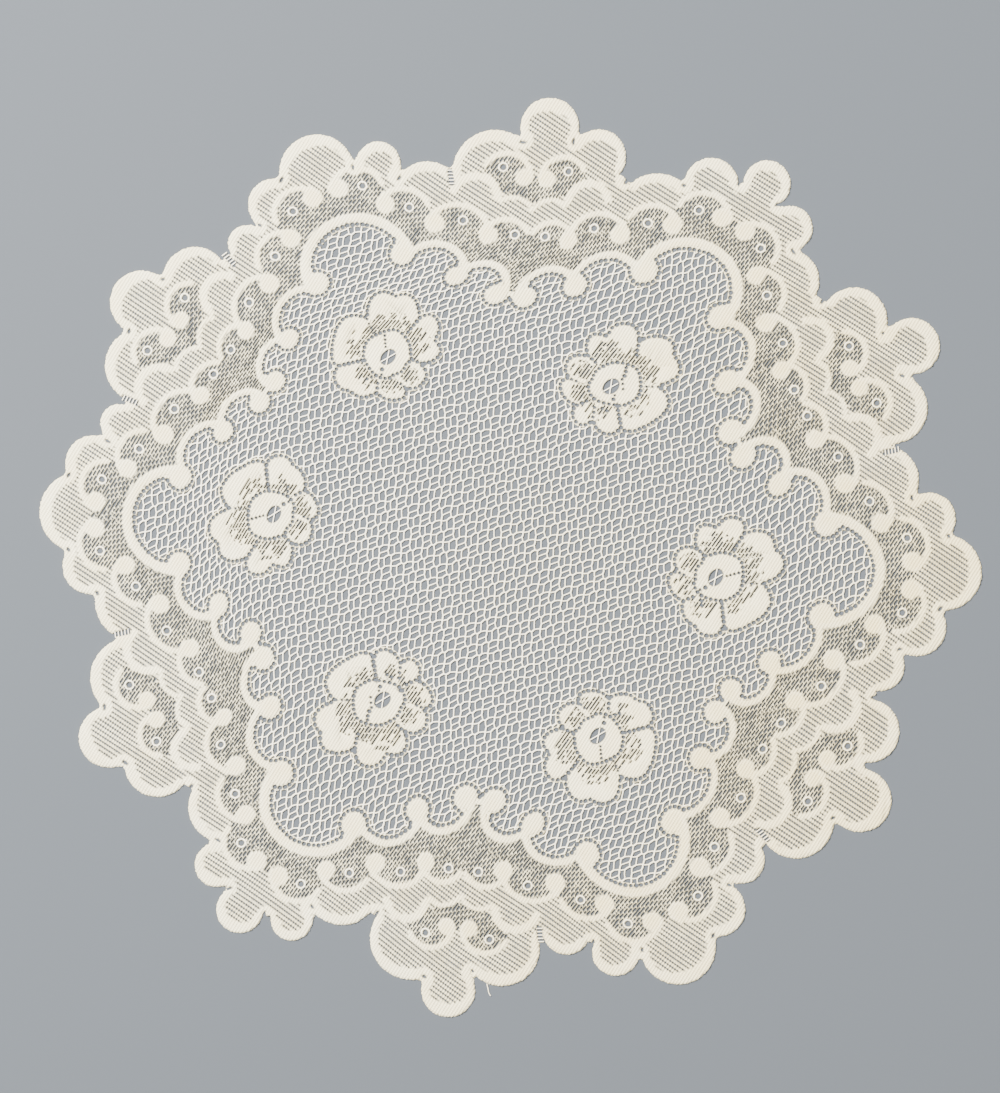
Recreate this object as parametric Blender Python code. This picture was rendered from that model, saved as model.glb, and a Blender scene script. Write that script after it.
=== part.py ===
"""Round lace doily, laid flat.

One sheet of machine-made lace: an open net middle with six roses, framed by
scrolls, and a border of 48 scallops with hooked scrolls round small eyelets.
The cloth is one piece, so it is one solid.  Its thickness steps with the
density of the lace, from the open net up to the close-worked motifs.

Metres, +Z up.  The underside lies on z = 0 and the origin is under the middle
of the pattern.  The tables below are in millimetres.
"""
import math

import bmesh
import bpy
from mathutils import Matrix, Vector

MM = 0.001

# Height of the cloth's upper face in each kind of lace, in mm.
NET_TOP = 1.0
FINE_NET_TOP = 1.15
CLOTH_TOP = 1.3
RIM_TOP = 1.6
MOTIF_TOP = 1.7
MOTIF_FOOT = 0.5        # motifs are sunk this deep into the sheet before they are joined
CUT_OVER = 1.0          # cutters stand this far clear of the faces they cut
FLAT_LIMIT = math.radians(0.5)      # faces within this angle are one flat face
LEAST_STEP = 0.35       # outline points closer than this are one point
WELD_DISTANCE = 0.00001             # in metres

# Largest turn between two points of an arc, in degrees.
RIM_STEP = 28.0
RIM_INNER_STEP = 43.0
SCROLL_STEP = 36.0
FRAME_STEP = 20.0
BULB_STEP = 58.0
LOBE_STEP = 60.0
CUP_STEP = 36.0

CROWNS = 6
CROWN_PITCH = 360.0 / CROWNS
FIRST_CROWN = 90.0      # turn of the first crown, anticlockwise from +X

# The 48 scallops of the edge, clockwise from the first crown, eight to a crown:
# its peak, its shoulder, two, the one over the big scroll, two, the next shoulder.
# Each is a round of the given size whose middle lies at that turn and reach.
SCALLOPS = (
    # turn_deg, reach, size
    (82.5, 177.0, 12.5), (75.0, 169.0, 11.5), (64.0, 155.5, 16.5), (59.0, 176.5, 11.5),
    (53.0, 190.0, 10.0), (47.0, 182.0, 9.5), (42.0, 166.0, 13.0), (32.0, 178.0, 14.0),
    (25.5, 194.0, 12.0), (19.0, 176.5, 15.0), (9.5, 166.5, 14.0), (3.5, 183.0, 11.0),
    (-3.5, 189.0, 16.0), (-11.0, 180.5, 12.5), (-17.5, 169.5, 10.5), (-26.5, 175.0, 13.5),
    (-35.0, 187.0, 13.5), (-42.5, 171.5, 16.0), (-52.0, 168.0, 10.0), (-58.5, 179.5, 11.5),
    (-65.5, 185.5, 16.0), (-73.5, 178.5, 10.0), (-79.5, 165.0, 10.0), (-89.0, 169.5, 16.0),
    (-96.0, 188.0, 11.5), (-102.0, 169.0, 17.5), (-114.0, 158.0, 15.5), (-118.5, 179.0, 9.0),
    (-125.0, 187.0, 10.0), (-131.0, 178.0, 9.5), (-136.0, 158.5, 15.0), (-147.0, 169.0, 14.0),
    (-153.5, 181.0, 13.0), (-160.0, 163.0, 17.0), (-171.0, 154.0, 16.0), (-177.0, 170.0, 12.0),
    (175.5, 175.0, 17.0), (168.5, 172.0, 12.0), (162.0, 166.0, 8.0), (153.0, 166.0, 16.0),
    (145.5, 180.0, 13.5), (138.5, 168.0, 14.0), (129.5, 164.0, 8.0), (123.0, 170.5, 11.0),
    (115.5, 173.5, 16.0), (107.0, 167.5, 9.5), (101.0, 149.0, 15.0), (90.0, 156.5, 18.0),
)
RIM_WIDTH = 4.4         # close-worked rim along each scallop
RIM_LEAST = 0.55        # and at least this share of the scallop stays inside it
RIM_VALLEY = 5.0        # the rim reaches this far in at the notches
RIM_SPAN = 64.0         # the rim's inner arc turns this far to either side

# Hooked scrolls on the right half of a crown, the crown pointing to +Y.  A band
# runs at the given reach round a middle (across, outward), from a bulb at
# start_deg to a tip at end_deg.  Each has an eyelet of the fine net inside it.
HOOKS = (
    # across, outward, reach, band, bulb, start_deg, end_deg
    (9.7, 133.6, 11.2, 2.6, 4.4, 20.0, 150.0),
    (29.4, 135.0, 14.5, 2.6, 4.6, 26.0, 150.0),
    (51.7, 141.2, 12.8, 2.6, 4.6, 25.0, 150.0),
    (71.4, 148.1, 12.4, 2.6, 4.6, 7.0, 150.0),
)
CROWN_HOOK = (11.8, 162.1, 10.8, 2.6, 4.2, 183.0, 28.0)

# Scrolls between the net and the border, laid out like the hooks.  The frame
# scroll is centred between two crowns and has a bulb at both ends.
SCROLLS = (
    (14.1, 112.4, 13.0, 3.0, 4.5, 194.0, 52.0),
    (35.9, 116.6, 15.8, 3.0, 4.4, 178.0, 50.0),
)
FRAME_SCROLL = (0.0, 134.0, 23.9, 4.2, 5.0, -3.0, 90.0)

# Rim of the inner scallop that runs on beneath each crown.
INNER_RIM = (23.5, 152.1, 10.6, 3.6, 15.0, 172.0)

# Lower edge of the fine net in a crown, from the crown's axis outward.
CROWN_FIELD = ((0.0, 151.3), (7.6, 153.6), (13.3, 155.6), (17.0, 160.6), (22.6, 164.6))

# Lobes of a rose's petals, clockwise, and the dip of the edge that follows each.
ROSE_LOBES = (
    # turn_deg, reach, size, dip_turn_deg, dip_reach
    (72.0, 20.7, 5.9, 57.0, 24.8),
    (48.0, 23.8, 4.4, 27.0, 14.6),
    (13.5, 21.6, 5.0, -3.0, 20.4),
    (-18.0, 17.7, 4.6, -42.0, 13.7),
    (-66.0, 14.3, 4.8, -88.0, 16.0),
    (-110.0, 16.1, 5.0, -132.0, 17.5),
    (-153.0, 19.3, 4.2, -161.0, 23.0),
    (-171.0, 20.9, 4.8, 174.0, 16.9),
    (156.0, 19.4, 5.2, 134.0, 22.3),
    (118.0, 19.0, 5.5, 101.0, 12.9),
)
CUP_GAP_OUTER = 10.0    # ring of open lace between a rose's petals and its cup
CUP_GAP_INNER = 8.6
ROSE_HOLE = (3.2, 2.6)  # half length and half width of the opening in the cup
ROSE_HOLE_AT = (-1.0, -1.3)

# The six roses: place of the middle, turn of the drawing, and whether it is mirrored.
ROSES = (
    # across, up, turn_deg, mirrored
    (-44.9, 79.8, 30.0, False),
    (49.1, 68.5, -87.0, True),
    (93.7, -13.4, -90.0, True),
    (43.3, -81.1, -150.0, False),
    (-47.5, -67.2, 93.0, True),
    (-93.7, 12.6, 90.0, True),
)

# The lace lies a little pulled: skewed as a whole, the middle more than the
# border, and the border uneven from place to place.
BORDER_SKEW = Matrix(((1.009, 0.094), (-0.079, 0.983)))
BORDER_SHIFT = Vector((1.65, -1.43))
MIDDLE_SKEW = Matrix(((1.035, 0.038), (-0.134, 0.955)))
MIDDLE_SHIFT = Vector((-0.2, -0.1))
MIDDLE_REACH = 94.0     # pulled as the middle up to here
BORDER_REACH = 139.0    # pulled as the border from here on
PULL_PITCH = 15.0       # a row of PULLS every 15 degrees, anticlockwise from +X
PULLS = (
    # outward, along
    (3.0, 1.9), (1.2, 2.4), (1.9, 2.5), (1.0, 0.8), (-1.2, -0.3), (-2.6, 0.5),
    (-3.7, -0.3), (-3.2, 2.1), (-0.5, 1.8), (3.7, 1.4), (2.9, 0.1), (3.0, -0.3),
    (-1.0, -0.8), (-2.6, -0.6), (-3.1, 1.1), (-2.9, -0.3), (-3.4, 0.3), (-2.0, -0.2),
    (0.3, -2.1), (-0.3, -2.1), (2.9, -3.4), (2.6, -2.5), (1.9, -1.1), (2.4, 0.6),
)

LACE_COLOUR = (0.83, 0.79, 0.70, 1.0)
LACE_ROUGHNESS = 0.85


def polar(turn_deg, reach):
    turn = math.radians(turn_deg)
    return Vector((reach * math.cos(turn), reach * math.sin(turn)))


def heading(vector):
    return math.degrees(math.atan2(vector.y, vector.x))


def turned(point, turn_deg):
    return Matrix.Rotation(math.radians(turn_deg), 2) @ point


def arc(middle, size, start_deg, end_deg, step_deg):
    """Points on a round arc, both ends included."""
    steps = max(1, math.ceil(abs(end_deg - start_deg) / step_deg))
    turns = [start_deg + (end_deg - start_deg) * i / steps for i in range(steps + 1)]
    return [middle + polar(turn, size) for turn in turns]


def full_round(size):
    return arc(Vector((0.0, 0.0)), size, 0.0, 360.0 - CUP_STEP, CUP_STEP)


def pull_at(turn_deg):
    """The border's unevenness at a turn, read smoothly between the rows of PULLS."""
    place = (turn_deg % 360.0) / PULL_PITCH
    row = math.floor(place)
    t = place - row
    before, here, after, beyond = (Vector(PULLS[(row + i) % len(PULLS)]) for i in (-1, 0, 1, 2))
    return 0.5 * (2 * here + (after - before) * t
                  + (2 * before - 5 * here + 4 * after - beyond) * t ** 2
                  + (3 * here - before - 3 * after + beyond) * t ** 3)


def pulled(point):
    """Where a point of the even pattern lies in the pulled cloth."""
    turn = heading(point)
    share = min(max((point.length - MIDDLE_REACH) / (BORDER_REACH - MIDDLE_REACH), 0.0), 1.0)
    share = share * share * (3.0 - 2.0 * share)
    middle = MIDDLE_SKEW @ point + MIDDLE_SHIFT
    border = BORDER_SKEW @ point + BORDER_SHIFT + turned(pull_at(turn), turn)
    return middle.lerp(border, share)


def meeting(a, b):
    """Outer point where two neighbouring rounds (middle, size) meet, or come closest."""
    across = b[0] - a[0]
    gap = across.length
    along = (gap * gap + a[1] ** 2 - b[1] ** 2) / (2.0 * gap)
    height = math.sqrt(max(a[1] ** 2 - along ** 2, 0.0))
    foot = a[0] + across * (along / gap)
    side = Vector((-across.y, across.x)) / gap
    return foot + side * math.copysign(height, side.dot(foot))


def lobed_edge(rounds, valleys, step_deg):
    """Clockwise edge along rounds (middle, size); valleys[i] is the dip after round i."""
    points = []
    for i, (middle, size) in enumerate(rounds):
        start = heading(valleys[i - 1] - middle)
        end = heading(valleys[i] - middle)
        while end > start:
            end -= 360.0
        points += arc(middle, size, start, end, step_deg)
        points.append(valleys[i])
    return tidy(points)


def tidy(points):
    """Drops points that all but coincide with the one before."""
    kept = [points[0]]
    for point in points[1:]:
        if (point - kept[-1]).length > LEAST_STEP:
            kept.append(point)
    if (kept[0] - kept[-1]).length <= LEAST_STEP:
        kept.pop()
    return kept


def scroll_half(row, step_deg):
    """One band with its bulb: outer arc, round the bulb, inner arc back to the tip."""
    across, outward, reach, band, bulb, start, end = row
    middle = Vector((across, outward))
    way = math.copysign(1.0, end - start)
    bulb_middle = middle + polar(start, reach - bulb)
    inner = reach - band
    offset = reach - bulb
    cosine = (offset ** 2 + inner ** 2 - bulb ** 2) / (2.0 * offset * inner)
    inner_start = start + way * math.degrees(math.acos(cosine))
    neck = heading(middle + polar(inner_start, inner) - bulb_middle)
    while way * (start - neck) < 0.0:
        neck -= way * 360.0
    return (arc(middle, reach, end, start, step_deg)
            + arc(bulb_middle, bulb, start, neck, BULB_STEP)[1:]
            + arc(middle, inner, inner_start, end, step_deg)[1:])


def mirrored(points):
    return [Vector((-point.x, point.y)) for point in reversed(points)]


def frame_scroll():
    half = scroll_half(FRAME_SCROLL, FRAME_STEP)
    return half + mirrored(half)[1:-1]


def inner_rim():
    across, outward, reach, band, start, end = INNER_RIM
    middle = Vector((across, outward))
    return (arc(middle, reach, start, end, SCROLL_STEP)
            + arc(middle, reach - band, end, start, SCROLL_STEP))


def crown_turns():
    return [FIRST_CROWN - CROWN_PITCH * i for i in range(CROWNS)]


def on_crown(points, crown_deg):
    """An outline drawn with its crown at +Y, moved to a crown and pulled."""
    return [pulled(turned(point, crown_deg - FIRST_CROWN)) for point in points]


def ring_of_rounds(rows, frame_row=None):
    """Rounds along the middle of the bands, clockwise over all crowns."""
    rounds = []
    for crown in crown_turns():
        right = [(Vector(row[:2]), row[2] - row[3] / 2.0) for row in rows]
        left = [(Vector((-middle.x, middle.y)), size) for middle, size in reversed(right)]
        on_axis = []
        if frame_row:
            size = frame_row[2] - frame_row[3] / 2.0
            on_axis = [(turned(Vector(frame_row[:2]), -CROWN_PITCH / 2.0), size)]
        for middle, size in left + right + on_axis:
            rounds.append((turned(middle, crown - FIRST_CROWN), size))
    return rounds


def band_ring(rows, frame_row=None):
    """Edge of a field that ends under the middle of the bands round it."""
    rounds = ring_of_rounds(rows, frame_row)
    valleys = [meeting(a, b) for a, b in zip(rounds, rounds[1:] + rounds[:1])]
    return [pulled(point) for point in lobed_edge(rounds, valleys, FRAME_STEP)]


def scallop_rounds():
    return [(polar(turn, reach), size) for turn, reach, size in SCALLOPS]


def cloth_edge():
    rounds = scallop_rounds()
    notches = [meeting(a, b) for a, b in zip(rounds, rounds[1:] + rounds[:1])]
    return lobed_edge(rounds, notches, RIM_STEP), notches


def rim_inner_edge(notches):
    points = []
    for (turn, _, size), (middle, _), notch in zip(SCALLOPS, scallop_rounds(), notches):
        inner = max(size - RIM_WIDTH, RIM_LEAST * size)
        points += arc(middle, inner, turn + RIM_SPAN, turn - RIM_SPAN, RIM_INNER_STEP)
        points.append(notch * (1.0 - RIM_VALLEY / notch.length))
    return tidy(sorted(points, key=heading))


def crown_field():
    """Fine net within a crown: under both hooks and over the inner rims."""
    across, outward, reach, band, _, start, end = CROWN_HOOK
    hook = arc(Vector((across, outward)), reach - band / 2.0, end, start, SCROLL_STEP)
    right = [Vector(point) for point in CROWN_FIELD] + hook
    return right + mirrored(right)[:-1]


def rose_edge():
    rounds = [(polar(row[0], row[1]), row[2]) for row in ROSE_LOBES]
    dips = [polar(row[3], row[4]) for row in ROSE_LOBES]
    return lobed_edge(rounds, dips, LOBE_STEP)


def on_rose(points, rose):
    across, up, turn, is_mirrored = rose
    side = -1.0 if is_mirrored else 1.0
    place = Vector((across, up))
    return [place + MIDDLE_SKEW @ turned(Vector((side * point.x, point.y)), turn)
            for point in points]


def rose_hole():
    middle = Vector(ROSE_HOLE_AT)
    return [middle + Vector((point.x * ROSE_HOLE[0], point.y * ROSE_HOLE[1]))
            for point in full_round(1.0)]


def slab(name, loops, bottom, top, collection):
    """A flat solid between two heights; loops inside the first one are holes."""
    curve = bpy.data.curves.new(name, "CURVE")
    curve.dimensions = "2D"
    curve.fill_mode = "BOTH"
    curve.extrude = (top - bottom) / 2.0 * MM
    for loop in loops:
        spline = curve.splines.new("POLY")
        spline.points.add(len(loop) - 1)
        for spline_point, point in zip(spline.points, loop):
            spline_point.co = (point.x * MM, point.y * MM, 0.0, 1.0)
        spline.use_cyclic_u = True
    flat = bpy.data.objects.new(name + "_outline", curve)
    flat.location.z = (bottom + top) / 2.0 * MM
    collection.objects.link(flat)
    bpy.context.view_layer.update()
    evaluated = flat.evaluated_get(bpy.context.evaluated_depsgraph_get())
    mesh = bpy.data.meshes.new_from_object(evaluated)
    solid = bpy.data.objects.new(name, mesh)
    solid.matrix_world = flat.matrix_world.copy()
    bpy.data.objects.remove(flat)
    weld = bmesh.new()
    weld.from_mesh(mesh)
    bmesh.ops.remove_doubles(weld, verts=weld.verts, dist=WELD_DISTANCE)
    bmesh.ops.recalc_face_normals(weld, faces=weld.faces)
    bmesh.ops.dissolve_limit(weld, angle_limit=FLAT_LIMIT, verts=weld.verts, edges=weld.edges)
    weld.to_mesh(mesh)
    weld.free()
    collection.objects.link(solid)
    return solid


def new_collection(name):
    collection = bpy.data.collections.new(name)
    bpy.context.scene.collection.children.link(collection)
    return collection


def as_guide(solid):
    solid.hide_render = True
    solid.display_type = "WIRE"
    return solid


def boolean(target, operation, operand):
    modifier = target.modifiers.new(operation.lower(), "BOOLEAN")
    modifier.operation = operation
    modifier.solver = "EXACT"
    if isinstance(operand, bpy.types.Collection):
        modifier.operand_type = "COLLECTION"
        modifier.collection = operand
    else:
        modifier.object = operand


def lace_material():
    material = bpy.data.materials.new("ivory_lace")
    material.use_nodes = True
    shader = material.node_tree.nodes["Principled BSDF"]
    shader.inputs["Base Color"].default_value = LACE_COLOUR
    shader.inputs["Roughness"].default_value = LACE_ROUGHNESS
    shader.inputs["Metallic"].default_value = 0.0
    return material


def add_motifs(collection):
    """Close-worked motifs, each a slab sunk into the sheet."""
    def motif(name, points):
        as_guide(slab(name, [points], MOTIF_FOOT, MOTIF_TOP, collection))

    for number, crown in enumerate(crown_turns()):
        motif(f"frame_{number}", on_crown(frame_scroll(), crown - CROWN_PITCH / 2.0))
        for row in HOOKS + (CROWN_HOOK,) + SCROLLS:
            outline = scroll_half(row, SCROLL_STEP)
            motif(f"scroll_{number}", on_crown(outline, crown))
            motif(f"scroll_{number}", on_crown(mirrored(outline), crown))
        motif(f"inner_rim_{number}", on_crown(inner_rim(), crown))
        motif(f"inner_rim_{number}", on_crown(mirrored(inner_rim()), crown))
    ring = full_round(CUP_GAP_OUTER)
    cup = full_round(CUP_GAP_INNER)
    for number, rose in enumerate(ROSES):
        petals = [on_rose(rose_edge(), rose), on_rose(ring, rose)]
        as_guide(slab(f"petals_{number}", petals, MOTIF_FOOT, MOTIF_TOP, collection))
        motif(f"cup_{number}", on_rose(cup, rose))


def add_sheet(parts, cutters, motifs):
    edge, notches = cloth_edge()
    fields = [
        ("cloth_field", rim_inner_edge(notches), CLOTH_TOP),
        ("fine_field", band_ring(HOOKS), FINE_NET_TOP),
        ("net_field", band_ring(SCROLLS, FRAME_SCROLL), NET_TOP),
    ]
    fields += [(f"crown_field_{number}", on_crown(crown_field(), crown), FINE_NET_TOP)
               for number, crown in enumerate(crown_turns())]
    holes = [(f"rose_hole_{number}", on_rose(rose_hole(), rose), -CUT_OVER)
             for number, rose in enumerate(ROSES)]

    def cutter(name, outline, floor):
        return as_guide(slab(name, [outline], floor, MOTIF_TOP + CUT_OVER, cutters))

    field_cutters = [cutter(*field) for field in fields]
    hole_cutters = [cutter(*hole) for hole in holes]
    sheet = slab("lace_sheet", [edge], 0.0, RIM_TOP, parts)
    sheet.data.materials.append(lace_material())
    for field_cutter in field_cutters:
        boolean(sheet, "DIFFERENCE", field_cutter)
    boolean(sheet, "UNION", motifs)
    for hole_cutter in hole_cutters:
        boolean(sheet, "DIFFERENCE", hole_cutter)
    flatten = sheet.modifiers.new("flat_faces", "DECIMATE")
    flatten.decimate_type = "DISSOLVE"
    flatten.angle_limit = FLAT_LIMIT


def main():
    for old in list(bpy.data.objects):
        bpy.data.objects.remove(old)
    parts = new_collection("lace_doily")
    cutters = new_collection("lace_doily_cutters")
    motifs = new_collection("lace_doily_motifs")
    add_motifs(motifs)
    add_sheet(parts, cutters, motifs)


main()
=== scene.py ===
import math
from collections import namedtuple

import bmesh
import bpy
import numpy as np
from bpy.props import FloatProperty, FloatVectorProperty, PointerProperty
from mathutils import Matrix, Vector


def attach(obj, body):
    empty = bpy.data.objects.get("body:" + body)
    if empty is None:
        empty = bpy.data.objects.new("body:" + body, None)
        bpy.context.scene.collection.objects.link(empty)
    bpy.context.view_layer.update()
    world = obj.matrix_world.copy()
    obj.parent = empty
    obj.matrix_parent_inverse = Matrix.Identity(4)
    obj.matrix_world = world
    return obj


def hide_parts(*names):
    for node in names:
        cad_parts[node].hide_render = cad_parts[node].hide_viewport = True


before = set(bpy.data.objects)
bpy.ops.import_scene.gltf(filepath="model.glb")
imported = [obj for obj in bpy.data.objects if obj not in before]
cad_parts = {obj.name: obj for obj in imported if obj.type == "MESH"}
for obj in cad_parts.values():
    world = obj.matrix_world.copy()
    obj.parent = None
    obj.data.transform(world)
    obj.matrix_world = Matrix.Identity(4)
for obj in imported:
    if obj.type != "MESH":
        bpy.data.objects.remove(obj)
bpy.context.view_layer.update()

bl_info = {
    "name": "Round lace doily",
    "version": (1, 0, 0),
    "blender": (4, 5, 0),
    "location": "3D View > Sidebar > Lace",
    "description": "Lays out a machine-made lace doily thread by thread on a pale table",
    "category": "Add Mesh",
}

BODY = "root"
SOLID = "lace_sheet"
MM = 0.001

# ---------------------------------------------------------------- the pattern
# All tables are in millimetres and degrees, as in the pattern's plan: a crown
# points to +Y and is drawn on its right half only.

CROWN_PITCH = 60.0
HALF_PITCH = CROWN_PITCH / 2.0

# The 48 scallops of the edge, clockwise from the first crown: turn, reach, size.
SCALLOPS = (
    (82.5, 177.0, 12.5), (75.0, 169.0, 11.5), (64.0, 155.5, 16.5), (59.0, 176.5, 11.5),
    (53.0, 190.0, 10.0), (47.0, 182.0, 9.5), (42.0, 166.0, 13.0), (32.0, 178.0, 14.0),
    (25.5, 194.0, 12.0), (19.0, 176.5, 15.0), (9.5, 166.5, 14.0), (3.5, 183.0, 11.0),
    (-3.5, 189.0, 16.0), (-11.0, 180.5, 12.5), (-17.5, 169.5, 10.5), (-26.5, 175.0, 13.5),
    (-35.0, 187.0, 13.5), (-42.5, 171.5, 16.0), (-52.0, 168.0, 10.0), (-58.5, 179.5, 11.5),
    (-65.5, 185.5, 16.0), (-73.5, 178.5, 10.0), (-79.5, 165.0, 10.0), (-89.0, 169.5, 16.0),
    (-96.0, 188.0, 11.5), (-102.0, 169.0, 17.5), (-114.0, 158.0, 15.5), (-118.5, 179.0, 9.0),
    (-125.0, 187.0, 10.0), (-131.0, 178.0, 9.5), (-136.0, 158.5, 15.0), (-147.0, 169.0, 14.0),
    (-153.5, 181.0, 13.0), (-160.0, 163.0, 17.0), (-171.0, 154.0, 16.0), (-177.0, 170.0, 12.0),
    (175.5, 175.0, 17.0), (168.5, 172.0, 12.0), (162.0, 166.0, 8.0), (153.0, 166.0, 16.0),
    (145.5, 180.0, 13.5), (138.5, 168.0, 14.0), (129.5, 164.0, 8.0), (123.0, 170.5, 11.0),
    (115.5, 173.5, 16.0), (107.0, 167.5, 9.5), (101.0, 149.0, 15.0), (90.0, 156.5, 18.0),
)
# Close-worked rim of each scallop, at its top; eight rows go round once a crown.
RIM_TOPS = (6.6, 5.2, 4.6, 5.0, 5.6, 5.0, 4.6, 5.2)
RIM_SIDE = 3.6
RIM_EASE = 1.2              # rims run together over this width
RIM_MOST = 0.5              # of a scallop's size
NEAR_SCALLOP = 14.0         # the edge and the rim are laid out this far round a scallop
NEAR_NOTCH = 9.0
NOTCH_EASE = 3.4            # the cloth fills the foot of a notch over this width
NOTCH_IN = 0.9              # and keeps a small slot across it, this far in
NOTCH_SLOT = (0.5, 1.0)     # half in and half across
NOTCH_SPREAD = (0.7, 0.6)   # of the half across, as PINHOLE_SPREAD

# Bands that end in a bulb: middle (across, outward), outer reach, band width,
# bulb size, turn where the bulb is, turn of the tip.
HOOKS = (
    (9.7, 133.6, 11.2, 2.6, 3.9, 20.0, 150.0),
    (29.4, 135.0, 14.5, 2.6, 4.25, 26.0, 150.0),
    (51.7, 141.2, 12.8, 2.6, 4.1, 25.0, 150.0),
    (71.4, 148.1, 12.4, 2.6, 4.2, 7.0, 150.0),
)
CROWN_HOOK = (11.8, 162.1, 10.8, 2.6, 3.75, 183.0, 28.0)
SCROLLS = (
    (14.1, 112.4, 13.0, 3.0, 4.5, 194.0, 52.0),
    (35.9, 116.6, 15.8, 3.0, 4.4, 178.0, 50.0),
)
FRAME_SCROLL = (0.0, 134.0, 23.9, 4.2, 5.0, -3.0, 90.0)     # on the axis between two crowns
INNER_RIMS = (
    (23.5, 152.1, 10.6, 3.6, 0.0, 15.0, 172.0),
    (8.0, 144.4, 9.7, 2.1, 0.0, 50.0, 150.0),
)
FIELD_START = (0.0, 133.0, 1.0)     # the fine net starts here in a crown's middle, as a round
CROWN_FIELD = ((0.0, 151.3), (7.6, 153.6), (13.3, 155.6), (17.0, 160.6), (22.6, 164.6))
EYELETS = ((6.3, 137.3), (27.3, 141.8), (49.6, 145.0), (69.8, 151.7), (13.6, 165.6))
EYELET_HOLE = 1.15
EYELET_RING = 2.10
EYELET_CORD = 1.78          # the whipped ring on it
RING_TURN = 20.0            # drawn in straight runs of this turn

# Petals of a rose, each an outline of (x, y) with +Y away from the doily's middle.
PETALS = (
    ((-0.8, 5.9), (-1.2, 12.6), (0.4, 17.4), (2.6, 21.4), (5.8, 24.6), (9.4, 25.4), (12.8, 24.4),
     (14.4, 21.4), (16.2, 20.9), (19.0, 20.9), (21.1, 18.6), (21.4, 14.8), (19.8, 11.0), (16.8, 8.2),
     (12.6, 5.8), (5.9, 2.9)),
    ((6.3, 2.5), (12.4, 5.8), (16.6, 7.6), (20.8, 9.2), (24.8, 8.9), (26.0, 5.4), (24.7, 1.8),
     (20.0, -1.0), (21.2, -4.0), (20.6, -6.8), (18.2, -8.3), (14.0, -8.8), (10.4, -7.6), (5.9, -5.0)),
    ((5.5, -5.8), (10.3, -9.4), (10.7, -12.4), (9.0, -15.3), (6.2, -16.4), (3.2, -16.6), (0.7, -15.4),
     (-0.8, -8.4)),
    ((-1.3, -8.4), (-0.4, -16.4), (-2.6, -18.8), (-6.0, -18.6), (-8.8, -17.2), (-10.9, -15.0),
     (-11.4, -12.8), (-6.3, -6.7)),
    ((-6.3, 1.6), (-21.0, 3.4), (-22.0, 6.0), (-20.6, 9.6), (-17.4, 13.8), (-14.6, 17.2), (-11.2, 19.6),
     (-7.8, 21.0), (-4.2, 20.0), (-0.8, 17.4), (-1.2, 13.0), (-0.6, 5.9)),
)
# Rows of pinholes where petals meet: from, to, size.
PETAL_SEAMS = (
    ((-1.2, 10.9), (-0.6, 17.4), 0.42),
    ((8.5, -6.1), (11.2, -8.6), 0.72), ((-1.0, -13.4), (0.2, -16.8), 0.55),
    ((-9.9, -9.6), (-12.2, -13.2), 0.76), ((-11.2, 1.9), (-20.8, 3.2), 0.78),
)
# The two kinds of rose: the ring of pinholes round the cup, loose pinholes (x, y, size),
# the cup's hole (middle, half length, half width, turn), petals of its own and their seams.
RoseKind = namedtuple("RoseKind", "ring pinholes hole petals seams")
PLAIN_ROSE = RoseKind(
    ((-10.2, 1.0), (-10.0, -3.0), (-9.0, -6.5), (-7.2, -8.3), (-4.2, -9.7), (-1.9, -8.6), (0.4, -9.0),
     (3.0, -8.5), (5.2, -6.1), (8.2, -6.0), (8.6, -3.8), (10.2, -1.0), (10.8, 2.2), (10.3, 5.6), (8.6, 8.8),
     (5.0, 9.8), (0.5, 9.9), (-3.2, 9.5), (-6.4, 8.0), (-8.6, 5.2), (-10.0, 3.0)),
    ((-5.3, -4.8, 0.8), (-6.6, -6.8, 0.45), (2.8, 8.1, 0.5), (2.1, 6.4, 0.46), (1.4, 4.9, 0.4),
     (0.8, 3.5, 0.38)),
    (-0.4, -0.9, 3.9, 2.5, 25.0),
    (((-6.7, -6.3), (-12.2, -12.6), (-15.2, -12.9), (-18.0, -12.4), (-20.7, -10.4), (-21.5, -7.6),
      (-24.4, -6.4), (-25.4, -3.0), (-24.4, 0.4), (-21.8, 2.2), (-6.3, 1.6)),),
    (((12.5, 5.9), (20.0, 9.6), 0.74), ((-11.1, -6.3), (-13.0, -6.2), 0.6)),
)
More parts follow.
